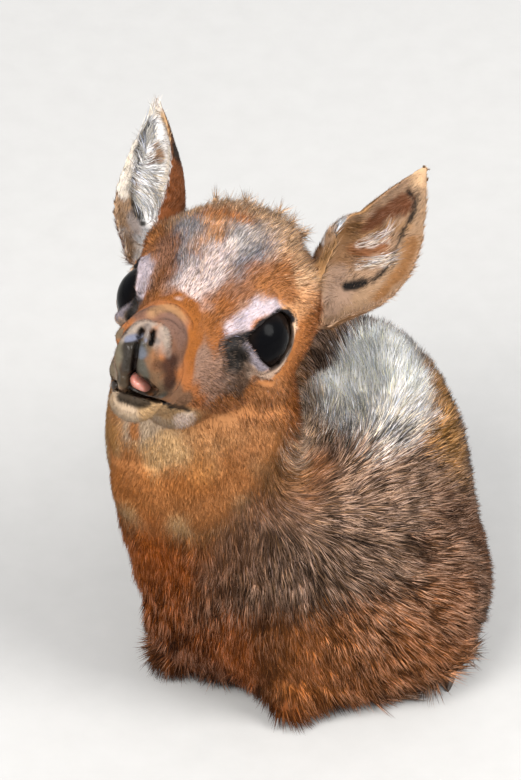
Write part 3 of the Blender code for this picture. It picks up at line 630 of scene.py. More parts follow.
# Colour, radius, softness, both sides or not, strength, and the stroke's pixels
FACE_MARKS = {
    "orange cheek": ("ac6b35", 10, 9, True, 0.7, [(290, 350), (285, 390), (240, 400)]),
    "tan cheek": ("a8744b", 7, 8, True, 0.6, [(262, 412), (235, 425), (215, 415)]),
    # Brown hair under the cheek, painted lighter than it is to lift the shade that falls there: painted
    # light.
    "brown under the cheek, lifted by painted light": ("d29254", 4, 6, True, 0.5, [(305, 365), (300, 400)]),
    "orange bridge": ("90531d", 5, 5, False, 0.9, [(196, 345), (205, 320), (196, 300), (175, 296)]),
    "rufous forehead": ("cc9a6e", 8, 8, False, 0.7, [(190, 235), (225, 232), (262, 258), (285, 285)]),
    "forehead left edge": ("a06837", 4, 5, False, 0.7, [(160, 232), (156, 258), (162, 285)]),
    "golden crown": ("cba682", 4.0, 6, False, 0.85,
        [(182, 222), (205, 208), (235, 206), (262, 217), (286, 240), (304, 270)]),
    "grey band left": ("96989f", 4.5, 5, False, 0.85, [(178, 234), (172, 258), (180, 276)]),
    "grey band right": ("96989c", 4.5, 5, False, 0.85, [(244, 240), (240, 262), (228, 282)]),
    "grey crown": ("b6a8a0", 3, 5, False, 0.6, [(262, 232), (262, 250)]),
    "orange tuft": ("b06c38", 1.4, 2.6, False, 0.8, [(200, 214), (222, 213), (244, 219)]),
    "blue streak": ("70747f", 1.2, 2.8, False, 0.7, [(262, 246), (252, 258), (240, 270)]),
    "blue streak far": ("94929a", 1.2, 2.8, False, 0.6, [(176, 238), (170, 250)]),
    "pale streak": ("d9cdc6", 1.0, 2.4, False, 0.8, [(238, 238), (228, 252), (218, 268)]),
    "pale forehead": ("cdb9b3", 3.0, 6, False, 0.95, [(212, 256), (206, 274), (196, 290)]),
    "rufous brow": ("8e562a", 4, 5, True, 0.85, [(214, 330), (230, 305), (256, 285), (280, 282)]),
    "soft white brow": ("9e7b67", 1.2, 3.8, True, 0.75,
        [(233, 327), (243, 315), (256, 306), (268, 303)]),
    "white brow": ("bcadb2", 1.7, 2.4, True, 1.0,
        [(232, 334), (240, 326), (250, 317), (262, 310), (276, 306)]),
    # A painted highlight: a thin pale line along the wet rim of the lid behind the eye.
    "painted highlight on the lid rim": ("e6c0a0", 0.6, 1.3, True, 0.9,
        [(294, 322), (293, 336), (287, 354), (280, 367)]),
    "pink lower lid": ("c4a690", 1.8, 1.9, True, 0.95,
        [(243, 353), (247, 364), (256, 371), (267, 374), (277, 368), (283, 360)]),
    "lavender lower lid": ("887f86", 1.3, 1.3, True, 1.0,
        [(246, 347), (252, 356), (262, 364), (268, 366)]),
    "grey under the gland": ("4d3f35", 3.0, 4.0, True, 0.9, [(233, 372), (240, 384)]),
    "dark gland": ("1f1b18", 3.4, 2.4, True, 1.0, [(229, 346), (233, 360)]),
    "dark tear line": ("2e2b2a", 1.2, 1.5, True, 1.0, [(222, 347), (234, 342), (246, 337)]),
    "dark upper lid": ("18171a", 0.8, 0.8, True, 1.0,
        [(242, 339), (250, 333), (263, 322), (277, 313), (287, 313), (291, 320)]),
    "dark lower lid edge": ("2a2420", 0.2, 0.6, True, 0.9,
        [(290, 330), (286, 348), (279, 362), (272, 368), (262, 358), (250, 344)]),
    "pinkish muzzle side": ("8e7465", 3, 4, True, 0.8, [(203, 362), (212, 372), (218, 388)]),
    "brown nose bulb": ("624637", 5, 4, False, 0.9, [(176, 328), (180, 342)]),
    "purplish bulb": ("6d5145", 3.5, 4, False, 0.85, [(148, 315), (163, 317), (177, 325)]),
    "orange fold": ("94704c", 0.6, 2.4, False, 0.7, [(153, 311), (163, 306), (173, 308), (182, 316)]),
    "pink grey upper lip": ("65503f", 2.0, 3.0, True, 0.8, [(166, 388), (176, 396), (186, 402)]),
    "brown nose front": ("28221d", 4.2, 2.4, False, 0.95, [(136, 345), (134, 362), (136, 376)]),
    "tan beside the lobe": ("4f3f2e", 1.7, 3.0, False, 0.9,
        [(151, 348), (150, 362), (155, 378), (162, 390)]),
    "orange lip spot": ("825738", 0.8, 2.6, False, 0.8, [(155, 356), (156, 366)]),
    "dark muzzle patch": ("2e1508", 1.2, 4.6, True, 0.95, [(170, 366), (173, 378)]),
    "cream nose rim": ("8e8074", 0.6, 1.9, False, 0.9,
        [(115, 372), (117, 352), (122, 341), (130, 332), (138, 325), (147, 322), (158, 325), (165, 335),
         (166, 344)]),
    "pinkish inner rim": ("8c7b70", 0.7, 2.2, False, 0.8, [(157, 338), (161, 345), (163, 351)]),
    "pale nose pad": ("6a605a", 0.7, 1.0, False, 0.9, [(147, 328), (146, 335), (157, 342)]),
    # Painted light on the lobe's left edge, the side the light falls on.
    "painted light left of the lobe": ("625a4a", 0.9, 2.2, False, 0.95, [(119, 348), (117, 364), (118, 382)]),
    "far side of the lobe": ("594c3b", 1.2, 2.4, False, 0.95, [(112, 364), (112, 378)]),
    # Painted shade on the lobe's right edge, where it turns into the groove.
    "painted shade on the right lobe": ("221c14", 1.3, 3.4, False, 0.95, [(131, 348), (130, 361), (129, 378)]),
    # Painted shade in the open mouth at the foot of the lobe.
    "painted shade at the foot of the lobe": ("352b1e", 1.4, 2.8, False, 0.95, [(119, 384), (126, 386)]),
    "blue grey left lobe": ("403c33", 0.5, 1.7, False, 1.0,
        [(141, 346), (140, 360), (146, 376), (156, 391), (163, 396)]),
    "bluish top of the lobe": ("4e525c", 0.4, 1.6, False, 0.85, [(142, 343), (141, 354)]),
    "blue grey pad": ("686b7c", 0.2, 1.2, False, 0.9,
        [(127, 340), (135, 337.5), (142, 336.5), (146, 340)]),
    # Painted shade down the groove between the lip's lobes.
    "painted shade in the groove": ("100e0c", 0.35, 0.9, False, 1.0, [(137, 346), (136, 358), (135, 372)]),
    "left nostril": ("0a0807", 0.5, 0.6, False, 1.0, [(141.5, 329.5), (138.5, 335.5)]),
    "right nostril": ("0a0807", 0.55, 0.5, False, 1.0, [(153.5, 331.5), (153, 337), (150.5, 344)]),
    # Painted shade in the mouth under the tongue.
    "painted shade under the tongue": ("100b08", 0.6, 0.9, False, 1.0,
        [(131, 388), (137, 391), (145, 394), (154, 396)]),
    # Painted shade along the mouth's line between the lips.
    "painted shade along the mouth line": ("070504", 0.6, 1.0, True, 1.0, [(150, 397), (162, 401), (175, 407), (189, 411)]),
    "cream chin": ("ac967f", 4.0, 4.5, False, 0.9, [(119, 408), (138, 422), (166, 424)]),
    "white chin spot": ("dcc4b4", 1.4, 3.0, False, 0.95, [(181, 417), (185, 422)]),
    "orange chin spot": ("a8621e", 0.9, 2.0, False, 0.8, [(135, 422), (136, 434)]),
    "dark lower lip": ("211a13", 0.9, 2.6, False, 0.95, [(121, 396), (134, 400), (149, 403)]),
    "left side of the muzzle": ("6a5d4b", 1.0, 2.6, False, 0.95,
        [(120, 333), (116, 341), (114, 354), (113, 372), (113, 383)]),
}
BODY_MARKS = {
    "orange throat": ("c3864b", 9, 12, False, 0.9, [(180, 455), (150, 465)]),
    "cream throat": ("c5a174", 5, 8, False, 0.8, [(140, 445), (170, 438)]),
    "rufous throat edge": ("9d5d2b", 5, 8, False, 0.8, [(120, 470), (150, 500), (210, 498), (262, 462)]),
    "golden throat edge": ("a8753c", 2.5, 3.5, False, 0.7, [(108, 392), (109, 412), (112, 434)]),
    "brown neck side": ("8e6642", 6, 9, False, 0.8, [(272, 470), (300, 420)]),
    "chest": ("b05d1e", 12, 14, False, 0.95, [(145, 560), (170, 620), (210, 640)]),
    "low chest": ("7a4019", 8, 12, False, 0.8, [(170, 640), (230, 690), (320, 700)]),
    "shoulder": ("86634c", 10, 14, False, 0.8, [(255, 560), (290, 545)]),
    "flank": ("8b6e5a", 14, 18, False, 0.9, [(340, 540), (380, 560)]),
    "low flank": ("b16c37", 10, 16, False, 0.85, [(310, 660), (370, 665), (430, 640)]),
    "right flank": ("775139", 8, 14, False, 0.7, [(440, 540), (455, 600)]),
    "golden shoulder blade": ("b5803c", 8, 12, False, 0.9, [(430, 390), (445, 440)]),
    # The silver patch is pale hair, painted near white so that it also stands for light falling on the
    # back: part hair colour, part painted highlight.
    "silver patch and painted highlight": ("fffcf8", 9, 10, False, 1.0, [(355, 385), (372, 355), (390, 385)]),
    "silver edge and painted highlight": ("fffaf2", 6, 10, False, 0.85, [(338, 415), (380, 425)]),
    # Painted light: a pale tint laid in the fold between the neck and the back, lifting the shade that
    # falls there.
    "painted light in the fold": ("bb9d83", 3, 6, False, 0.9, [(292, 448), (300, 430), (304, 405)]),
}
print(len(FACE_MARKS) + len(BODY_MARKS), "markings")

# %% [markdown]
# The skin's spots under the pixels are found once and kept, because the same strokes are
# laid over the skin's points now and over the roots of the hairs later.

# %% Lay the markings
MARKS = []
for code, radius, softness, both, strength, pixels in [*BODY_MARKS.values(), *FACE_MARKS.values()]:
    spots = under_pixels(pixels)
    lines = [spots, mirrored(spots)] if both else [spots]
    MARKS.append((paint(code), radius, softness, strength, lines))


def marked(points, colours):
    """Lays every marking over the ground colours of some points."""
    colours = colours.copy()
    for number, (tone, radius, softness, strength, lines) in enumerate(MARKS):
        waver = ripple(points, max(6.0, radius * 2.2), number) * softness * 0.35
        for spots in lines:
            cover = strength * (1 - ease((off_line(points, spots) + waver - radius) / softness))
            colours += (tone - colours) * cover[:, None]
    return colours


EAR_SEED = 60
EAR_GROUND = {"left": ("977a62", "765539"), "right": ("c9c2bd", "5c3820")}
# Colour, radius, softness, strength and pixels of each stroke
EAR_MARKS = {
    "left": {
        "bluish white back": ("c6cacf", 1.8, 2.8, 0.95, [(318, 246), (330, 234), (342, 222)]),
        "dark back edge": ("2c2a2c", 1.0, 1.6, 0.9, [(350, 213), (358, 205), (367, 194)]),
        "golden front edge": ("8f6a44", 3.0, 3.2, 0.9, [(316, 276), (330, 252), (344, 230), (356, 214)]),
        "speckled front": ("7f5a38", 2.6, 3.4, 0.8, [(330, 268), (342, 248), (353, 230)]),
        "pale front edge": ("c09a78", 0.9, 1.8, 0.85, [(370, 200), (388, 187), (408, 175)]),
        "tan outer rim": ("94785e", 2.8, 3.0, 0.9,
            [(423, 172), (421, 215), (409, 256), (385, 288), (350, 308), (325, 316)]),
        "orange outer rim": ("85592f", 1.2, 2.4, 0.8, [(412, 244), (402, 270), (377, 298)]),
        "dark upper hollow": ("5a321b", 2.3, 3.0, 0.95, [(368, 226), (382, 213), (402, 205)]),
        "tan band": ("92704f", 1.2, 1.8, 0.85, [(362, 238), (382, 234), (405, 226)]),
        "upper dark line": ("33261c", 0.3, 0.9, 0.8, [(374, 194), (390, 188), (407, 189)]),
        "brown between tufts": ("774828", 1.2, 2.0, 0.9, [(354, 250), (366, 249), (380, 246)]),
        "white tufts": ("cdbfb4", 0.6, 1.3, 0.95, [(360, 244), (374, 243), (386, 240)]),
        "lower white tufts": ("d4cbc4", 0.7, 1.5, 0.95, [(358, 264), (371, 264), (385, 260)]),
        "pink lower hollow": ("9a7f6c", 2.8, 3.0, 0.8, [(334, 276), (340, 298), (330, 306)]),
        "dark line": ("0d0a09", 0.3, 0.8, 0.95,
            [(408, 191), (415, 200), (414, 213), (404, 229), (399, 241), (393, 257), (385, 270),
             (374, 280)]),
        "dark spot": ("100c0a", 0.6, 1.6, 1.0, [(346, 287), (355, 286)]),
        "dark spot's middle": ("100c0a", 0.9, 1.4, 1.0, [(354, 286), (364, 283)]),
        "pale tip": ("bc9a77", 1.5, 2.5, 0.9, [(424, 168), (417, 177)]),
    },
    "right": {
        "tan low rim": ("9a7550", 2.2, 3.4, 0.9, [(120, 205), (116, 222), (119, 240), (128, 254)]),
        "cream rim": ("ddd1c2", 1.7, 1.8, 0.95,
            [(153, 104), (143, 122), (134, 142), (128, 165), (124, 192)]),
        "white hairs": ("e4e2e1", 3.0, 3.2, 0.95,
            [(152, 126), (154, 150), (150, 176), (152, 196), (149, 212)]),
        "brown spot": ("7b542b", 1.0, 1.5, 0.9, [(157, 146), (160, 157)]),
        "shadow low in the hollow": ("8e9096", 1.2, 2.8, 0.55, [(134, 220), (138, 236)]),
        "dark line": ("1f1e1c", 0.4, 1.1, 0.95,
            [(148, 122), (142, 135), (138, 150), (139, 168), (133, 180), (132, 195), (136, 212),
             (142, 224)]),
        "orange front rim": ("bb9264", 0.5, 1.2, 0.9, [(161, 112), (167, 128), (170, 140)]),
        "white front rim": ("c4b5a2", 0.5, 1.0, 0.9,
            [(170, 150), (168, 165), (164, 180), (160, 192), (157, 206)]),
        "dark back": ("18130f", 2.8, 3.4, 0.95, [(172, 128), (177, 150), (175, 166)]),
        "rufous back": ("6e3c1b", 4.0, 4.5, 0.9, [(180, 180), (178, 196), (170, 212)]),
        "cream tip": ("ddd0c2", 1.8, 2.4, 0.95, [(156, 99), (155, 108)]),
    },
}


def ear_colours(points, normals, colours, amounts):
    """Lays the ears' colours, each stroke only on the face of the ear that it was seen on."""
    for side in SIDES:
        amount = np.clip(amounts[side] * 1.15, 0, 1)
        hollow = ear_inside(points, normals, side)[:, None]
        within, behind = (paint(code) for code in EAR_GROUND[side])
        whole = behind + (within - behind) * hollow
        marks = EAR_MARKS[side].values()
        for number, (code, radius, softness, strength, pixels) in enumerate(marks):
            spots = under_pixels(pixels)
            facing = unit(np.mean([seen(x, y)[1] for x, y in pixels], axis=0))
            waver = ripple(points, max(5.0, radius * 2), EAR_SEED + number) * softness * 0.3
            cover = strength * (1 - ease((off_line(points, spots) + waver - radius) / softness))
            cover = cover * ease((normals @ facing) * 2 + 0.6)
            whole = whole + (paint(code) - whole) * cover[:, None]
        colours = colours + (whole - colours) * amount[:, None]
    return colours


CROWN_TINT = "c2a07c"
ear_amounts = {side: share[f"ear_{side}"] for side in SIDES}
local = in_head(places)
crown = ease((-local[:, 1] - 12) / 10) * ease((local[:, 2] - 14) / 8) * share["head"]
ground = sum(share[name][:, None] * paint(GROUND[name]) for name in FLESH)
ground = ground + (paint(CROWN_TINT) - ground) * (0.8 * crown)[:, None]
skin_colour = marked(places, ground)
skin_colour = ear_colours(places, skin_normals, skin_colour, ear_amounts)
print("mean skin colour:", skin_colour.mean(axis=0).round(3))

# %% [markdown]
# The inside of the mouth, the nostrils and the eye sockets are bare, and a painted shade
# makes them as dark as they look in shadow. They are told by how deep they lie: a spot from
# which the way out along its normal soon meets skin again.

# %% Find the hollows
# The hollows' tint is painted shade: near-black laid over skin and hairs where light hardly reaches.
HOLLOW_SHADE_TINT, HOLLOW_SHADE_STRENGTH, HOLLOW_REACH = "1c1411", 0.92, 0.005
CLEAR_OF_SKIN, FACE_FROM = 0.0004, -25.0


def hollow_share(reach):
    """1 where skin faces other skin within a short reach, as in the mouth and nostrils."""
    found = np.zeros(len(places))
    face_part = np.flatnonzero((HEAD > 0.5) & (local[:, 1] > FACE_FROM))
    for k in face_part:
        start = Vector(places[k] + skin_normals[k] * CLEAR_OF_SKIN)
        hit = sight.ray_cast(start, Vector(skin_normals[k]), reach)
        found[k] = 0 if hit[0] is None else 1
    return found


def with_hollow_shade(colours, amount):
    """Colours with the hollows' painted shade laid over them."""
    return colours + (paint(HOLLOW_SHADE_TINT) - colours) * (HOLLOW_SHADE_STRENGTH * amount)[:, None]


hollows = spread(hollow_share(HOLLOW_REACH), 2)
# The skin tucked round each eyeball counts as a hollow too, so it is bare, wet and gets painted shade.
hollows = np.maximum(hollows, 1 - ease((off_eye(places) - 12.7) / 0.6))
wet_nose = touch_any(places, ([(140, 334), (150, 336), (143, 345), (143, 365)], 1.6, 1.4),
                     ([(126, 346), (124, 365), (125, 382)], 1.4, 1.4))
lips = touch(places, [(116, 386), (137, 392), (160, 398), (188, 411)], 0.8, 1.2)
wet = np.clip(np.maximum(wet_nose, np.maximum(lips, hollows)), 0, 1)
skin_colour = with_hollow_shade(skin_colour, hollows)
print("points in hollows:", int(hollows.sum()), "wet points:", int(wet.sum()))

# %% [markdown]
# Colours and values are kept on a mesh's points, where the materials read them. So the skin
# and every hair carry their own colour, and no picture has to be drawn.

# %% Keep colours on a mesh
def keep_colour(mesh, name, colours):
    """Writes a colour to each point of a mesh, where materials can read it."""
    layer = mesh.attributes.new(name, "FLOAT_COLOR", "POINT")
    filled = np.ones((len(colours), 4), np.float32)
    filled[:, :3] = np.clip(colours, 0, 1)
    layer.data.foreach_set("color", filled.ravel())


def keep_value(mesh, name, values):
    layer = mesh.attributes.new(name, "FLOAT", "POINT")
    layer.data.foreach_set("value", np.asarray(values, np.float32))


def shade_smooth(mesh):
    mesh.polygons.foreach_set("use_smooth", np.ones(len(mesh.polygons), bool))


keep_colour(skin.data, "coat", skin_colour)
keep_value(skin.data, "wet", wet)
shade_smooth(skin.data)

# %% [markdown]
# Materials are wired in code. A small class wraps a socket so that shader maths reads as
# plain sums, and one method makes every other node from its type, settings and values.

# %% Shader maths
class Wire:
    """One output of a node, which can be added, multiplied and so on."""

    def __init__(self, finish, socket):
        self.finish, self.socket = finish, socket

    def maths(self, operation, a, b):
        return self.finish.node("ShaderNodeMath", {"operation": operation}, {0: a, 1: b})

    def __add__(self, other):
        return self.maths("ADD", self, other)

    def __sub__(self, other):
        return self.maths("SUBTRACT", self, other)

    def __rsub__(self, other):
        return self.maths("SUBTRACT", other, self)

    def __mul__(self, other):
        return self.maths("MULTIPLY", self, other)

    def __pow__(self, other):
        return self.maths("POWER", self, other)

    __radd__ = __add__
    __rmul__ = __mul__


class Finish:
    """A material whose nodes are made by one method."""

    def __init__(self, name, **constants):
        self.material = bpy.data.materials.new(name)
        self.material.use_nodes = True
        self.tree = self.material.node_tree
        self.shader = self.tree.nodes["Principled BSDF"]
        for socket, value in constants.items():
            self.shader.inputs[socket.replace("_", " ")].default_value = value

    def node(self, kind, settings=None, values=None, output=0):
        """Makes a node: its settings first, then the values or wires of its sockets."""
        made = self.tree.nodes.new(kind)
        for setting, value in (settings or {}).items():
            setattr(made, setting, value)
        for socket, value in (values or {}).items():
            if isinstance(value, Wire):
                self.tree.links.new(value.socket, made.inputs[socket])
            else:
                made.inputs[socket].default_value = value
        return Wire(self, made.outputs[output])

    def feed(self, socket, wire):
        self.tree.links.new(wire.socket, self.shader.inputs[socket])

    def blend(self, amount, a, b):
        """Mixes two colours."""
        settings = {"data_type": "RGBA", "blend_type": "MIX"}
        return self.node("ShaderNodeMix", settings, {0: amount, 6: a, 7: b}, 2)

    def shade(self, colour, amount):
        """Makes a colour lighter or darker by a number around 1."""
        lifted = self.node("ShaderNodeCombineColor", {}, {0: amount, 1: amount, 2: amount})
        settings = {"data_type": "RGBA", "blend_type": "MULTIPLY"}
        return self.node("ShaderNodeMix", settings, {0: 1.0, 6: colour, 7: lifted}, 2)

    def kept(self, name, output="Color"):
        """A colour or value kept on the mesh."""
        return self.node("ShaderNodeAttribute", {"attribute_name": name}, {}, output)

    def place(self):
        return self.node("ShaderNodeTexCoord", {}, {}, "Object")

    def noise(self, scale, detail=2.0, roughness=0.5, place=None):
        values = {"Vector": place or self.place(), "Scale": scale, "Detail": detail}
        return self.node("ShaderNodeTexNoise", {}, {**values, "Roughness": roughness}, "Fac")

    def climb(self, value, low, high):
        """0 below the low value, 1 above the high one, and a soft climb between."""
        values = {"Value": value, "From Min": low, "From Max": high}
        return self.node("ShaderNodeMapRange", {"interpolation_type": "SMOOTHSTEP"}, values)

    def bump(self, height, distance, strength=1.0, under=None):
        values = {"Height": height, "Distance": distance, "Strength": strength}
        if under is not None:
            values["Normal"] = under
        return self.node("ShaderNodeBump", {}, values)


def dress(piece, finish):
    piece.data.materials.clear()
    piece.data.materials.append(finish.material)


# %% [markdown]
# Skin shows only on the muzzle, the lids, in the ears and between the hairs. Its colour is
# the markings' colour, a little darker and mottled. Fine grain raises it, and where it is
# wet, on the lips and nose, it turns smooth and shiny.

# %% Skin finish
def skin_finish():
    finish = Finish("skin", Specular_IOR_Level=0.15, Coat_Roughness=0.16, Coat_IOR=1.4)
    wet = finish.kept("wet", "Fac")
    coat = finish.kept("coat")
    mottle = finish.noise(420.0, 3.0, 0.6)
    grain = finish.noise(2600.0, 2.0, 0.6)
    finish.feed("Base Color", finish.shade(coat, 0.62 + 0.5 * mottle))
    finish.feed("Roughness", 0.75 - 0.35 * wet + 0.1 * (grain - 0.5))
    finish.feed("Coat Weight", wet * (0.1 + 0.3 * grain))
    dimples = finish.bump(mottle, 0.0006, 0.5)
    finish.feed("Normal", finish.bump(grain, 0.00018, 0.8, dimples))
    return finish


dress(skin, skin_finish())
skin_triangles = sum(len(p.vertices) - 2 for p in skin.data.polygons)
print("skin:", skin_triangles, "triangles")

# %% [markdown]
# A fawn's eye is a dark wet ball, almost all pupil and dark brown iris. Each is built round
# its own line of sight: rings from the front pole to the back, with the clear front, the
# cornea, bulging a little. Its mesh carries how far from that pole each point lies.

# %% Eyes
CORNEA_RISE = 0.5
EYE_BACK_ANGLE = 104
# Degrees off the pole over which iris and rim begin, and their colours
IRIS_FROM, RIM_FROM = (24.0, 52.0), (58.0, 74.0)
PUPIL, BROWN, RIM = (0.002, 0.002, 0.0025, 1), (0.009, 0.0055, 0.004, 1), (0.003, 0.0028, 0.003, 1)


def closed_piece(name, verts, faces):
    """A smooth closed piece with its doubles merged and its faces turned outward."""
    mesh = bpy.data.meshes.new(name)
    mesh.from_pydata([tuple(v) for v in verts], [], faces)
    bm = bmesh.new()
    bm.from_mesh(mesh)
    bmesh.ops.remove_doubles(bm, verts=bm.verts[:], dist=1e-7)
    bmesh.ops.recalc_face_normals(bm, faces=bm.faces[:])
    bm.to_mesh(mesh)
    bm.free()
    shade_smooth(mesh)
    return linked(name, mesh)


def eye_way(sign):
    left, forward, up = EYE_ASPECT
    return unit(head_way(sign * left, forward, up))


def make_eye(side):
    """A smooth eyeball, flat behind, as a list of rings round its line of sight."""
    sign = SIDES[side]
    way = eye_way(sign)
    across = unit(np.cross(way, head_way(0, 0, 1)))
    above = np.cross(across, way)
    rings, turns = 40, 64
    verts, off_pole = [EYE[side] + way * (EYE_RADIUS + CORNEA_RISE) * MM], [0.0]
    for k in range(1, rings + 1):
        angle = math.radians(EYE_BACK_ANGLE) * k / rings
        rise = CORNEA_RISE * float(1 - ease((math.degrees(angle) - 10) / 45))
        for s in range(turns):
            a = 2 * math.pi * s / turns
            out = across * math.cos(a) + above * math.sin(a)
            ball = way * math.cos(angle) + out * math.sin(angle)
            verts.append(EYE[side] + ball * (EYE_RADIUS + rise) * MM)
            off_pole.append(math.degrees(angle))
    faces = [(0, 1 + s, 1 + (s + 1) % turns) for s in range(turns)]
    for k in range(rings - 1):
        for s in range(turns):
            a, b = 1 + k * turns + s, 1 + k * turns + (s + 1) % turns
            faces.append((a, a + turns, b + turns, b))
    faces.append(tuple(1 + (rings - 1) * turns + s for s in range(turns)))
    eye = closed_piece(f"eyeball_{side}", verts, faces)
    keep_value(eye.data, "off_pole", off_pole)
    return eye


def eye_finish():
    finish = Finish("eye", Specular_IOR_Level=0.03)
    off_pole = finish.kept("off_pole", "Fac")
    streaks = finish.noise(900.0, 3.0, 0.7)
    iris = finish.climb(off_pole + 10 * (streaks - 0.5), *IRIS_FROM)
    outer = finish.climb(off_pole, *RIM_FROM)
    colour = finish.blend(outer, finish.blend(iris, PUPIL, BROWN), RIM)
    finish.feed("Base Color", finish.shade(colour, 0.7 + 0.6 * streaks))
    tears = finish.noise(260.0, 2.0, 0.5)
    finish.feed("Roughness", 0.13 + 0.1 * streaks)
    finish.feed("Normal", finish.bump(tears, 0.0004, 0.35, finish.bump(streaks, 0.00002, 0.3)))
    return finish


eyes = {side: make_eye(side) for side in SIDES}
eye_look = eye_finish()
for side, eye in eyes.items():
    dress(eye, eye_look)
print("eyeballs of", 2 * EYE_RADIUS, "mm across")

# %% [markdown]
# The tongue is a small wet tip between the parted lips, close to its solid's place. Rings
# along it make a leaf with a shallow furrow down the middle.

# %% Tongue
# Its tip swells up and to one side between the lobes of the lip
TONGUE_AT = (1.6, 40.5, -17.7)
TONGUE_SIZE = (4.2, 8.6, 2.7)
TONGUE_TILT = math.radians(-7.0)
TONGUE_ROLL = math.radians(-36.0)
FURROW, FURROW_WIDTH = 0.45, 1.1


def make_tongue():
    steps, turns = 28, 36
    verts, faces = [], []
    for k in range(steps + 1):
        angle = math.pi * k / steps
        for s in range(turns):
            a = 2 * math.pi * s / turns
            left = TONGUE_SIZE[0] * math.sin(angle) * math.cos(a)
            forward = TONGUE_SIZE[1] * math.cos(angle)
            furrow = FURROW * math.exp(-(left / FURROW_WIDTH) ** 2)
            furrow = furrow * math.sin(angle) * max(math.sin(a), 0)
            up = TONGUE_SIZE[2] * math.sin(angle) * math.sin(a) - furrow
            left, up = (left * math.cos(TONGUE_ROLL) - up * math.sin(TONGUE_ROLL),
                        up * math.cos(TONGUE_ROLL) + left * math.sin(TONGUE_ROLL))
            tipped = (
                left,
                forward * math.cos(TONGUE_TILT) + up * math.sin(TONGUE_TILT),
                up * math.cos(TONGUE_TILT) - forward * math.sin(TONGUE_TILT),
            )
            verts.append(from_head(*(t + p for t, p in zip(tipped, TONGUE_AT))))
    for k in range(steps):
        for s in range(turns):
            a, b = k * turns + s, k * turns + (s + 1) % turns
            faces.append((a, b, b + turns, a + turns))
    return closed_piece("tongue_tip", verts, faces)


def tongue_finish():
    finish = Finish("tongue", Coat_Roughness=0.12, Subsurface_Weight=0.2, Subsurface_Scale=0.002)
    pads = finish.noise(3200.0, 1.0, 0.5)
    patches = finish.noise(500.0, 2.0, 0.5)
    finish.feed("Base Color", finish.blend(patches, (0.36, 0.12, 0.09, 1), (0.50, 0.22, 0.165, 1)))
    finish.feed("Roughness", 0.3 + 0.2 * patches)
    finish.feed("Coat Weight", 0.5 + 0.3 * patches)
    finish.feed("Normal", finish.bump(pads, 0.0001, 0.7))
    return finish


tongue = make_tongue()
dress(tongue, tongue_finish())
print("tongue:", len(tongue.data.polygons), "faces")

# %% [markdown]
# The toes are horn: dark, faintly ridged across from growth, and duller than they look wet.
# Their solids already have the right shape, so they only get this finish.

# %% Hooves
def hoof_finish():
    finish = Finish("hoof", Specular_IOR_Level=0.5)
    waves = {"Vector": finish.place(), "Scale": 260.0, "Distortion": 3.0, "Detail": 2.0}
    rings = finish.node("ShaderNodeTexWave", {"bands_direction": "DIAGONAL"}, waves, "Fac")
    dust = finish.noise(300.0, 3.0, 0.6)
    horn, dusty = (0.022, 0.018, 0.015, 1), (0.085, 0.062, 0.045, 1)
    finish.feed("Base Color", finish.blend(dust * 0.5, horn, dusty))
    finish.feed("Roughness", 0.42 + 0.25 * dust)
    finish.feed("Normal", finish.bump(rings, 0.0002, 0.5))
    return finish


hoof_look = hoof_finish()
for name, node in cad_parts.items():
    if name.startswith("hoof"):
        dress(node, hoof_look)

# %% [markdown]
# Hair lies in streams. On this fawn they part from a whorl on the shoulder: down over the
# chest, back along the flank, and up over the silver patch. The streams that the photo
# shows are combed with short strokes between two of its pixels. Where it shows nothing,
# hair runs back along the curled trunk and sinks towards the floor.

# %% Comb strokes
COMB = {
    "chest": [(270, 530, 255, 570), (250, 560, 240, 600), (230, 600, 226, 640), (200, 560, 196, 600),
              (160, 560, 166, 600), (130, 520, 138, 560), (180, 640, 192, 672), (240, 670, 250, 702),
              (150, 590, 160, 630), (210, 520, 206, 552)],
    "shoulder": [(298, 545, 302, 590), (292, 620, 298, 670), (340, 640, 352, 685), (320, 590, 335, 630),
                 (280, 585, 276, 625)],
    "throat": [(150, 440, 148, 480), (200, 450, 198, 490), (250, 440, 241, 480), (120, 450, 118, 492),
               (280, 430, 272, 468)],
    "flank": [(305, 515, 345, 520), (345, 545, 385, 560), (400, 560, 440, 572), (440, 620, 472, 640),
              (395, 640, 430, 668), (360, 600, 388, 628), (420, 600, 455, 618)],
    "upper flank": [(312, 490, 338, 466), (350, 500, 384, 482), (400, 505, 436, 492), (440, 525, 474, 520),
                    (380, 455, 405, 430), (425, 460, 452, 440), (440, 420, 452, 398)],
    "silver patch and painted highlight": [(338, 425, 343, 388), (368, 405, 371, 368), (400, 410, 409, 374), (370, 352, 373, 326),
                     (318, 455, 326, 425), (345, 370, 349, 340)],
    "fold behind the jaw": [(298, 478, 304, 450), (303, 430, 308, 400)],
}
FACE_COMB = {
    "forehead": [(200, 292, 203, 258), (172, 284, 166, 250), (238, 292, 252, 260), (214, 240, 232, 212),
                 (186, 245, 192, 218), (262, 262, 280, 236), (224, 262, 238, 236)],
    "bridge": [(178, 300, 184, 282), (200, 340, 206, 312), (216, 335, 226, 312)],
    "brow": [(236, 328, 250, 305), (256, 300, 274, 292), (284, 292, 300, 298)],
    "cheek": [(230, 390, 252, 416), (272, 384, 286, 416), (300, 345, 310, 376), (205, 400, 220, 426),
              (250, 425, 262, 452), (295, 320, 306, 342)],
    "muzzle": [(182, 352, 200, 368), (178, 392, 200, 408), (196, 378, 214, 392)],
    "chin": [(124, 404, 122, 426), (150, 410, 150, 434), (176, 418, 180, 438)],
}
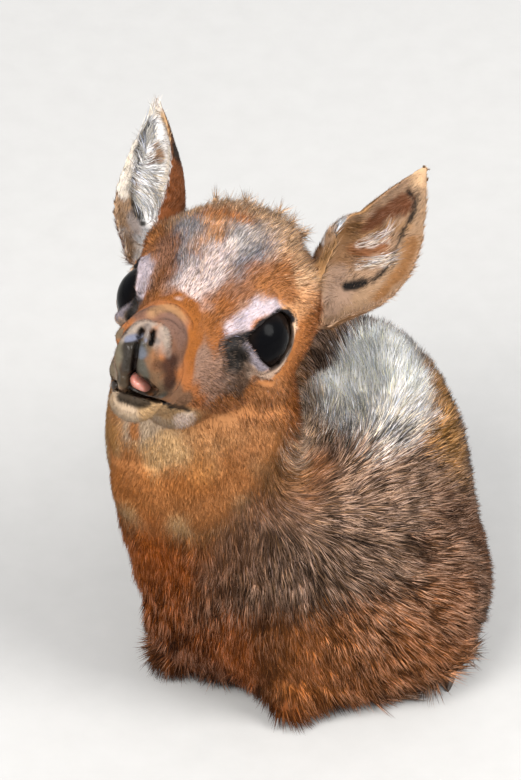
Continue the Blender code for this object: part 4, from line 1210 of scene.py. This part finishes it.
EAR_COMB = {
    "left": [(400, 240, 412, 246), (393, 262, 404, 275), (378, 282, 388, 297), (354, 295, 358, 310),
             (412, 212, 422, 206), (405, 191, 416, 178), (345, 256, 385, 250), (345, 243, 385, 236),
             (350, 264, 372, 264), (370, 240, 375, 222), (386, 237, 390, 220), (401, 230, 405, 214),
             (318, 268, 330, 246), (336, 238, 350, 212), (358, 206, 385, 188), (332, 300, 330, 312)],
    "right": [(152, 116, 153, 136), (165, 142, 152, 152), (166, 160, 145, 166), (162, 180, 143, 181),
              (158, 200, 137, 194), (156, 214, 136, 204), (130, 170, 121, 167), (137, 140, 129, 133),
              (122, 215, 113, 212), (140, 226, 141, 242), (148, 118, 144, 110)],
}


def combed(strokes, both, weight):
    """Places, ways and weights of the comb's guides."""
    guides = []
    for x0, y0, x1, y1 in strokes:
        ends = under_pixels([(x0, y0), (x1, y1)])
        for start, end in [ends, mirrored(ends)] if both else [ends]:
            guides.append((start, unit(end - start), weight))
            guides.append(((start + end) / 2, unit(end - start), weight))
    return guides


guides = []
for strokes in COMB.values():
    guides += combed(strokes, False, 1.0)
for strokes in FACE_COMB.values():
    guides += combed(strokes, True, 0.35)
guide_places = np.array([g[0] for g in guides])
guide_ways = np.array([g[1] for g in guides])
guide_weights = np.array([g[2] for g in guides])
print("guides:", len(guides))

# %% [markdown]
# Each part of the body has its own rule for the hidden side: back along the head, down the
# neck, round the trunk, out along the ears. Near a comb stroke the stroke outweighs it.

# %% The lie of the coat
TRUNK = np.array([(-42, -34, 28), (-30, -32, 38), (-10, -29, 42), (9, -20, 43), (21, -3, 44),
                  (23, 21, 45), (15, 43, 41), (1, 56, 33)], float) * MM + SHIFT
RULE_REACH = 16.0
TRUNK_REACH = 0.022
# How far a comb stroke reaches, in millimetres, and how softly it starts
STROKE_REACH, STROKE_START = 45.0, 30.0
EAR_STROKE_REACH, EAR_STROKE_START = 9.0, 6.0


def along_skin(ways, normals):
    """Ways with the part that stands off the skin taken out."""
    return unit(ways - normals * np.sum(ways * normals, axis=1)[:, None])


def pull(points, place, start, reach):
    """How strongly a comb stroke at a place pulls the hair at each point."""
    off = np.sum((points - place) ** 2, axis=1) / MM ** 2
    return np.exp(-off / reach ** 2) / (off + start)


def trunk_way(points):
    """The way along the curled trunk beside each point, sinking a little."""
    middles = (TRUNK[1:] + TRUNK[:-1]) / 2
    ways = unit(TRUNK[1:] - TRUNK[:-1])
    off = np.linalg.norm(points[:, None] - middles, axis=2)
    near = np.exp(-off ** 2 / TRUNK_REACH ** 2) + 1e-9
    return unit(near @ ways / near.sum(axis=1, keepdims=True) + [0, 0, -0.45])


def face_way(points):
    """Back over the head, spreading sideways, and down on the cheeks and jaw."""
    left, _, up = in_head(points).T
    low = ease(-(up + 2) / 22)
    ways = np.stack([left * 0.012 * (1 + low), -1.0 + 0.35 * low, 0.10 - 0.75 * low], axis=1)
    return unit((ways * [1, -1, 1]) @ HEAD_TURN.T)


def ear_way(points, normals, side):
    """Out along the back of the ear, and inside it across from both rims."""
    _, axis, _, across = ear_axes(side)
    out = ear_spot(points, side)[1]
    hollow = ear_inside(points, normals, side)[:, None]
    slant = np.where(out[:, None] < 2, 0.9, -0.5)
    return unit(axis * (1 - 0.35 * hollow) + across * slant * hollow)


def lie_of_coat(points, normals, shares):
    """The way that the hair lies at each point, along the skin."""
    down = np.array([0.0, 0.0, -1.0])
    head = shares["head"] + shares["lower_jaw"]
    way = trunk_way(points) * (shares["torso"] + shares["tail"])[:, None]
    way = way + down * shares["neck"][:, None] + face_way(points) * head[:, None]
    for name in FLESH:
        if "leg" in name:
            way = way + unit(trunk_way(points) + down * 0.8) * shares[name][:, None]
    way = way / RULE_REACH ** 2
    free = 1 - np.clip(shares["ear_left"] + shares["ear_right"], 0, 1)
    for place, stroke, weight in zip(guide_places, guide_ways, guide_weights):
        strength = weight * free * pull(points, place, STROKE_START, STROKE_REACH)
        way = way + stroke * strength[:, None]
    for side in SIDES:
        amount = shares[f"ear_{side}"]
        way = way + ear_way(points, normals, side) * (amount * 0.1)[:, None]
        hollow = ear_inside(points, normals, side) * amount
        for x0, y0, x1, y1 in EAR_COMB[side]:
            start, end = under_pixels([(x0, y0), (x1, y1)])
            strength = pull(points, (start + end) / 2, EAR_STROKE_START, EAR_STROKE_REACH)
            way = way + unit(end - start) * (3.0 * hollow * strength)[:, None]
    return along_skin(way, normals)


# %% [markdown]
# How long, wide and dense the hair is also changes over the body: nearly a centimetre long
# on the trunk, a few millimetres on the head, and hardly more than down on the muzzle.

# %% Length, width and number of hairs
# Millimetres of length and width, and how many hairs lie over each other
LENGTH = {"torso": 7.8, "neck": 6.8, "tail": 7.0, "lower_jaw": 2.8, "head": 3.7, "foreleg": 6.5,
          "hindleg": 7.0, "ear": 2.3}
WIDTH = {"torso": 0.40, "neck": 0.35, "tail": 0.42, "lower_jaw": 0.19, "head": 0.21, "foreleg": 0.36,
         "hindleg": 0.37, "ear": 0.19}
LAYERS = {"torso": 12.0, "neck": 10.5, "tail": 9.0, "lower_jaw": 5.5, "head": 4.8, "foreleg": 9.0,
          "hindleg": 9.5, "ear": 4.6}
# Millimetres that hairs are longer in some places
CROWN_EXTRA, FRINGE_EXTRA, LOW_EXTRA, EAR_BASE_EXTRA, EAR_FRONT_EXTRA = 2.6, 4.2, 3.0, 1.8, 1.5


def by_part(table):
    """A table's values spread over the skin by how much of each part a point has."""
    total = np.zeros(len(places))
    for name in FLESH:
        key = name if name in table else name.split("_")[0]
        total += share[name] * table[key]
    return total


local = in_head(places)
hair_length, hair_width, layers = by_part(LENGTH), by_part(WIDTH), by_part(LAYERS)
muzzle = ease((local[:, 1] - 6) / 30) * HEAD
close_eye = (1 - ease((off_eye(places) - 13.0) / 9)) * HEAD
short = np.maximum(muzzle * (1 - 0.5 * share["lower_jaw"]), close_eye * 0.85)
hair_length = hair_length * (1 - 0.62 * short) + CROWN_EXTRA * crown
up_ear = {side: ear_spot(places, side)[0] for side in SIDES}
tips = sum(share[f"ear_{side}"] * ease((up_ear[side] - 0.8) / 0.2) for side in SIDES)
hair_length = hair_length * (1 - 0.7 * tips)
ear_base = sum(share[f"ear_{side}"] * ease((0.45 - up_ear[side]) / 0.3) for side in SIDES)
ear_front = touch(places, [(320, 268), (334, 246), (346, 226)], 2.6, 3.0) * share["ear_left"]
hair_length = hair_length + EAR_BASE_EXTRA * ear_base * (1 - inside) + EAR_FRONT_EXTRA * ear_front
forehead = share["head"] * (1 - muzzle) * (1 - close_eye)
hair_width = hair_width * (1 - 0.36 * short) - 0.03 * crown
white_fringe = touch_any(places, ([(360, 243), (374, 241), (385, 238)], 1.3, 1.8),
                         ([(352, 262), (368, 263), (382, 260)], 1.3, 1.8),
                         ([(152, 122), (156, 150), (154, 176), (152, 212)], 3.6, 3.0))
white_fringe = white_fringe * inside
hair_length = hair_length * (1 + 0.35 * inside) + FRINGE_EXTRA * white_fringe
hair_width = hair_width + 0.06 * white_fringe
bare = np.clip(hollows * 1.5 + 1.3 * wet_nose + lips, 0, 1)
bare = np.maximum(bare, (1 - ease((off_eye(places) - 12.6) / 0.8)) * HEAD)
layers = layers * (1 - bare) * (1 - 0.35 * muzzle) * (1 - 0.3 * inside) * (1 + 0.9 * white_fringe)
low = ease((0.028 - places[:, 2]) / 0.018) * (share["torso"] + LEGS)
hair_length = hair_length + LOW_EXTRA * low
under = ease((0.006 - places[:, 2]) / 0.004) * ease(-skin_normals[:, 2] - 0.4)
layers = layers * (1 - 0.8 * under)
number = layers / (hair_length * hair_width)
grizzle = np.clip(share["torso"] + 0.5 * share["neck"] + 0.6 * LEGS + 0.6 * share["tail"]
                  + (0.62 - 0.2 * muzzle) * HEAD - 0.5 * share["lower_jaw"] + 0.35 * EARS, 0, 1)
# Fewer dark tips on the silver patch brighten it, as part of its painted highlight.
silver = touch(places, [(355, 385), (372, 355), (390, 385)], 9.0, 12.0) * share["torso"]
brow = touch(places, [(234, 330), (250, 317), (262, 310), (276, 306)], 2.4, 2.0, both=True)
grizzle = grizzle * (1 - 0.72 * silver) * (1 - 0.8 * brow) + 0.4 * ear_front
print("hair from", hair_length.min().round(1), "to", hair_length.max().round(1), "mm long")

# %% [markdown]
# Roots are drawn at random over the skin's triangles, more where the coat is denser. The
# draw has a fixed seed, so the fawn has the same hair each time.

# %% Draw the roots
SEED = 11
draw = np.random.default_rng(SEED)
skin.data.calc_loop_triangles()
corners = np.empty(len(skin.data.loop_triangles) * 3, int)
skin.data.loop_triangles.foreach_get("vertices", corners)
corners = corners.reshape(-1, 3)
a, b, c = (places[corners[:, k]] for k in range(3))
areas = np.linalg.norm(np.cross(b - a, c - a), axis=1) / 2 / MM ** 2
expected = areas * number[corners].mean(axis=1)
counts = np.floor(expected + draw.random(len(expected))).astype(int)
root_face = np.repeat(np.arange(len(corners)), counts)
u, v = draw.random(len(root_face)), draw.random(len(root_face))
over = u + v > 1
u[over], v[over] = 1 - u[over], 1 - v[over]
mixing = np.stack([1 - u - v, u, v], axis=1)


def at_roots(values):
    """Values of the skin's points read at the roots."""
    picked = values[corners[root_face]]
    return np.einsum("ij,ij...->i...", mixing, picked)


roots = at_roots(places)
root_normals = unit(at_roots(skin_normals))
root_length, root_width = at_roots(hair_length), at_roots(hair_width)
print("skin of", round(areas.sum() / 100), "square centimetres,", len(roots), "roots")

# %% [markdown]
# So that each tuft's colour can be baked to a picture, every tuft gets a small patch of its
# own place on an unwrap of the skin. A coarse copy of the skin is unwrapped, which is quick,
# and each root reads its place from the nearest triangle.

# %% Unwrap the skin
COARSE_SHARE = 0.04
PATCH = 0.003


def unwrapped_copy():
    """A coarse copy of the skin with its triangles, their corners and their unwrap."""
    copy = linked("coarse", skin.data.copy())
    thin = copy.modifiers.new("thin", "DECIMATE")
    thin.ratio = COARSE_SHARE
    apply_modifiers(copy)
    bpy.context.view_layer.objects.active = copy
    copy.select_set(True)
    bpy.ops.object.mode_set(mode="EDIT")
    bpy.ops.mesh.select_all(action="SELECT")
    bpy.ops.mesh.quads_convert_to_tris()
    bpy.ops.uv.smart_project(angle_limit=math.radians(62), island_margin=0.004)
    bpy.ops.object.mode_set(mode="OBJECT")
    mesh = copy.data
    spots = read_places(mesh)
    corners = np.empty(len(mesh.loops), int)
    mesh.loops.foreach_get("vertex_index", corners)
    flat = np.empty(len(mesh.loops) * 2)
    mesh.uv_layers[0].data.foreach_get("uv", flat)
    bpy.data.objects.remove(copy)
    bpy.data.meshes.remove(mesh)
    return spots, corners.reshape(-1, 3), flat.reshape(-1, 3, 2)


coarse_spots, coarse_corners, coarse_unwrap = unwrapped_copy()
coarse_tree = tree_of(coarse_spots, coarse_corners.tolist())


def dot(u, v):
    return np.sum(u * v, axis=1)


def unwrap_places(points):
    """Where points of the skin lie on its unwrap."""
    faces = np.array([coarse_tree.find_nearest(Vector(p))[2] for p in points])
    a, b, c = (coarse_spots[coarse_corners[faces, k]] for k in range(3))
    ab, ac, ap = b - a, c - a, points - a
    below = dot(ab, ab) * dot(ac, ac) - dot(ab, ac) ** 2
    v = (dot(ac, ac) * dot(ap, ab) - dot(ab, ac) * dot(ap, ac)) / np.maximum(below, 1e-18)
    w = (dot(ab, ab) * dot(ap, ac) - dot(ab, ac) * dot(ap, ab)) / np.maximum(below, 1e-18)
    v, w = np.clip(v, 0, 1), np.clip(w, 0, 1)
    over = np.maximum(v + w, 1)
    v, w = (v / over)[:, None], (w / over)[:, None]
    ua, ub, uc = (coarse_unwrap[faces, k] for k in range(3))
    return ua * (1 - v - w) + ub * v + uc * w


print("unwrapped", len(coarse_corners), "triangles")

# %% [markdown]
# Every hair gets its own way, length and chance. It leaves the skin at a slant and lies
# down along it. Neighbouring hairs lean together into locks, as fur does: each tip is drawn
# towards the tip of the hair that leads the nearest lock.

# %% Shape every hair
HAIRS_TO_A_LOCK = {"long": 14, "short": 5}
DRAWN = {"long": 0.27, "short": 0.13}
JITTER = {"long": 0.17, "short": 0.13}
BEND, BEND_WIDTH, BEND_SEED = 0.17, 9.0, 900
SUNK = 0.35


def hair_shapes(spots, normals, ways, lengths, slant, kind):
    """Root, tip, side and chance of each hair."""
    count = len(spots)
    jitter = draw.normal(size=(count, 3)) * JITTER[kind]
    bend = np.stack([ripple(spots, BEND_WIDTH, BEND_SEED + k) for k in range(3)], axis=1) * BEND
    way = along_skin(ways + jitter + bend, normals)
    length = lengths * draw.uniform(0.7, 1.2, count) * MM
    rise = np.radians(slant * draw.uniform(0.45, 1.6, count))[:, None]
    start = spots - normals * SUNK * MM
    tip = start + (way * np.cos(rise) + normals * np.sin(rise)) * length[:, None]
    leaders = draw.permutation(count)[: max(8, count // HAIRS_TO_A_LOCK[kind])]
    tree = KDTree(len(leaders))
    for k, leader in enumerate(leaders):
        tree.insert(Vector(spots[leader]), k)
    tree.balance()
    nearest = leaders[np.array([tree.find(Vector(p))[1] for p in spots])]
    drawn = DRAWN[kind] * draw.uniform(0.3, 1.4, count)[:, None]
    tip = tip + (tip[nearest] - tip) * drawn
    chance = 0.55 * draw.random(count) + 0.45 * draw.random(count)[nearest]
    return start, tip, unit(np.cross(way, normals)), np.clip((chance - 0.5) * 1.35 + 0.5, 0, 1)


# %% [markdown]
# A hair is a thin solid spike: three-sided and closed at the root. All the hairs of a piece
# are joined in one mesh, straight from arrays, with their colour, how far along the hair a
# point lies, and a chance value for each hair.

# %% Build a piece of coat
SPIKE = np.array([(0, 2, 1), (0, 1, 3), (1, 2, 3), (2, 0, 3)])
SPIKE_ALONG = np.array([0.0, 0.0, 0.0, 1.0])
SPIKE_ACROSS = np.array([-0.5, 0.5, 0.0, 0.0])
HAIR_ABOVE_FLOOR = 0.0002


def spikes(name, start, tip, side, chance, normals, widths, colours, grizzles, unwrap):
    """One mesh of hairs."""
    count = len(start)
    half = side * (widths * 0.5 * MM)[:, None]
    back = normals * (widths * 0.5 * MM)[:, None]
    spots = np.stack([start - half, start + half, start + back, tip], axis=1)
    spots[:, :, 2] = np.maximum(spots[:, :, 2], HAIR_ABOVE_FLOOR)
    corners = (SPIKE[None] + (np.arange(count) * 4)[:, None, None]).reshape(-1)
    mesh = bpy.data.meshes.new(name)
    mesh.vertices.add(count * 4)
    mesh.vertices.foreach_set("co", spots.astype(np.float32).reshape(-1))
    mesh.loops.add(len(corners))
    mesh.loops.foreach_set("vertex_index", corners.astype(np.int32))
    mesh.polygons.add(len(corners) // 3)
    mesh.polygons.foreach_set("loop_start", np.arange(0, len(corners), 3, dtype=np.int32))
    mesh.update(calc_edges=True)
    shade_smooth(mesh)
    keep_colour(mesh, "coat", np.repeat(colours, 4, axis=0))
    keep_value(mesh, "along", np.tile(SPIKE_ALONG, count))
    keep_value(mesh, "chance", np.repeat(chance, 4))
    keep_value(mesh, "grizzle", np.repeat(grizzles, 4))
    offsets = np.stack([SPIKE_ACROSS, SPIKE_ALONG - 0.5], axis=1) * PATCH
    flat = (unwrap[:, None] + offsets[None]).reshape(-1, 2)
    layer = mesh.uv_layers.new(name="OFBake")
    layer.data.foreach_set("uv", flat[corners].astype(np.float32).reshape(-1))
    return linked(name, mesh)


# %% [markdown]
# Real hairs of this coat are ticked: dark at the root, coloured along the middle, often pale
# near the tip and dark at its very end, which gives the shoulders and flank their grizzled
# look. The finish reads the hair's own colour and darkens or lightens it along its length,
# by chance from hair to hair.

# %% Coat finish
PALE_BAND = (0.66, 0.47, 0.36, 1)


def coat_finish():
    finish = Finish("coat", Specular_IOR_Level=0.05)
    coat = finish.kept("coat")
    along = finish.kept("along", "Fac")
    chance = finish.kept("chance", "Fac")
    grizzle = finish.kept("grizzle", "Fac")
    fleck = finish.noise(1400.0, 2.0, 0.6)
    base = finish.climb(along, 0.0, 0.6)
    root = 1.0 - (0.35 + 0.3 * grizzle) * (1.0 - base)
    even = 0.66 + 0.68 * chance
    ticked = 0.1 + 2.75 * chance ** 2.1
    light = even + grizzle * (ticked - even)
    dark_tip = finish.climb(along, 0.78, 0.95)
    shade = root * light * (1.0 - 0.45 * dark_tip * grizzle) * (0.94 + 0.12 * fleck)
    tone = finish.shade(coat, shade)
    palest = finish.climb(chance, 0.55, 0.8)
    near_tip = finish.climb(along, 0.3, 0.6)
    pale = palest * near_tip * (1.0 - 0.7 * dark_tip) * grizzle * 0.4
    tone = finish.blend(pale, tone, PALE_BAND)
    finish.feed("Base Color", tone)
    finish.feed("Roughness", 0.7 - 0.1 * along + 0.1 * (fleck - 0.5))
    return finish


coat_look = coat_finish()

# %% [markdown]
# The roots are shared out by the part of the body that they grow on. The trunk's and the
# face's hairs are dealt to several pieces, each a sector, so that no piece grows too heavy.
# Each hair takes its colour from a spot a little off its root.

# %% Grow the coat
HAIRS_TO_A_PIECE = 48000
SLANT = {"body": 17, "neck": 15, "face": 15, "ears": 12, "legs": 12}
FAMILY_OF = {"torso": "body", "tail": "body", "neck": "neck", "head": "face", "lower_jaw": "face",
             "ear_left": "ears", "ear_right": "ears"}
SLOT_OF = {"body": "coat_body", "neck": "coat_throat", "face": "coat_face", "ears": "ear_skin",
           "legs": "coat_legs"}
# How far off the root, as shares of the hair's length, to any side and along the lie
ASTRAY, STREAKED = 0.13, 0.45
FAR_OFF, FAR_SHARE = 2.6, 0.25
WARMTH = 0.12
EYE_CLEARANCE = 0.8
root_ways = at_roots(lie_of_coat(places, skin_normals, share))


def colours_of_hairs():
    """The colours of spots a little off each root, so that the markings' edges are ragged."""
    astray = draw.normal(size=(len(roots), 3)) * (root_length * ASTRAY * MM)[:, None]
    streaked = STREAKED * (1 - 0.8 * at_roots(EARS)) * root_length * MM
    astray = astray + root_ways * (draw.normal(size=len(roots)) * streaked)[:, None]
    # On the forehead some hairs take their colour from further off, which makes it streaky
    far = 1 + FAR_OFF * (draw.random(len(roots)) < FAR_SHARE) * at_roots(forehead)
    astray = astray * far[:, None]
    spots = roots + astray - root_normals * np.sum(astray * root_normals, axis=1)[:, None]
    colours = marked(spots, at_roots(ground))
    amounts = {side: at_roots(share[f"ear_{side}"]) for side in SIDES}
    ear = np.flatnonzero(sum(amounts.values()) > 0.01)
    colours[ear] = ear_colours(spots[ear], root_normals[ear], colours[ear],
                               {side: amount[ear] for side, amount in amounts.items()})
    # Hairs in the hollows get the same painted shade as the skin.
    colours = with_hollow_shade(colours, at_roots(hollows))
    warmth = draw.normal(size=len(roots)) * WARMTH
    return colours * np.stack([1 + 0.4 * warmth, np.ones(len(roots)), 1 - warmth], axis=1)


root_colour = colours_of_hairs()
root_grizzle = at_roots(grizzle)
root_unwrap = unwrap_places(roots)
largest = np.argmax([at_roots(share[name]) for name in FLESH], axis=0)
family = np.array([FAMILY_OF.get(name, "legs") for name in FLESH])[largest]


def clear_of_eyes(points):
    """Pushes points of hairs out of the eyeballs."""
    for centre in EYE.values():
        away = points - centre
        off = np.linalg.norm(away, axis=1)
        clear = (EYE_RADIUS + EYE_CLEARANCE) * MM
        close = off < clear
        points[close] = centre + away[close] / off[close, None] * clear
    return points


def grow(name, chosen):
    """The pieces of one family of hairs."""
    kind = "long" if name in ("body", "neck", "legs") else "short"
    rooted = [values[chosen] for values in (roots, root_normals, root_ways, root_length)]
    start, tip, side, chance = hair_shapes(*rooted, SLANT[name], kind)
    if kind == "short":
        tip = clear_of_eyes(tip)
    pieces = math.ceil(len(chosen) / HAIRS_TO_A_PIECE)
    order = np.argsort(np.arctan2(roots[chosen, 0], roots[chosen, 1]))
    made = []
    for k, part in enumerate(np.array_split(order, pieces)):
        shapes = [values[part] for values in (start, tip, side, chance)]
        at_root = (root_normals, root_width, root_colour, root_grizzle, root_unwrap)
        looks = [values[chosen[part]] for values in at_root]
        piece = spikes(f"coat_{name}_{k + 1}", *shapes, *looks)
        dress(piece, coat_look)
        made.append((piece, SLOT_OF[name]))
    print(name, len(chosen), "hairs in", pieces, "pieces")
    return made


coat_pieces = []
for name in ("body", "neck", "face", "ears", "legs"):
    coat_pieces += grow(name, np.flatnonzero(family == name))
print("coat:", sum(len(piece.data.polygons) for piece, _ in coat_pieces), "triangles")

# %% [markdown]
# The floor is plain and pale, and the light is soft: a bright sky all round, one wide lamp
# above the fawn's head side and a weaker one across from it.

# %% Floor and light
FLOOR_HALF = 4.0
FLOOR_GREYS = (0.37, 0.366, 0.36, 1), (0.41, 0.406, 0.40, 1)
SKY_COLOUR, SKY_STRENGTH = (0.96, 0.975, 1.0), 0.98
# Place, size, watts and colour
LAMPS = {
    "key": ((-0.8, -0.9, 1.4), 1.0, 38, (1.0, 0.975, 0.94)),
    "fill": ((1.1, -0.5, 1.1), 0.9, 33, (1.0, 0.985, 0.96)),
}


def make_floor():
    bm = bmesh.new()
    bmesh.ops.create_grid(bm, x_segments=1, y_segments=1, size=FLOOR_HALF)
    mesh = bpy.data.meshes.new("floor")
    bm.to_mesh(mesh)
    bm.free()
    floor = linked("floor", mesh)
    finish = Finish("floor", Roughness=0.9, Specular_IOR_Level=0.2)
    speck = finish.noise(90.0, 4.0, 0.6)
    finish.feed("Base Color", finish.blend(speck, *FLOOR_GREYS))
    dress(floor, finish)


def lamp(name, place, size, power, colour):
    data = bpy.data.lights.new(name, "AREA")
    data.shape = "DISK"
    data.size, data.energy, data.color = size, power, colour
    light = linked(name, data)
    place = Vector(place)
    aim = (Vector(AIM) - place).to_track_quat("-Z", "Y")
    light.matrix_world = Matrix.Translation(place) @ aim.to_matrix().to_4x4()


def set_sky(colour, strength):
    world = bpy.data.worlds.new("studio")
    world.use_nodes = True
    background = world.node_tree.nodes["Background"]
    background.inputs["Color"].default_value = (*colour, 1)
    background.inputs["Strength"].default_value = strength
    bpy.context.scene.world = world


make_floor()
set_sky(SKY_COLOUR, SKY_STRENGTH)
for name, settings in LAMPS.items():
    lamp(name, *settings)
bpy.context.scene.view_settings.view_transform = "Standard"

# %% [markdown]
# Last, each piece is told which body carries it. The fawn is one still body, and the
# solids that the pieces replace are hidden.

# %% Hand the pieces over
for piece in [skin, tongue, *eyes.values(), *(piece for piece, _ in coat_pieces)]:
    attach(piece, "root")
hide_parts(*FLESH)
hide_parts("tongue")
for side in SIDES:
    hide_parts(f"eye_{side}")
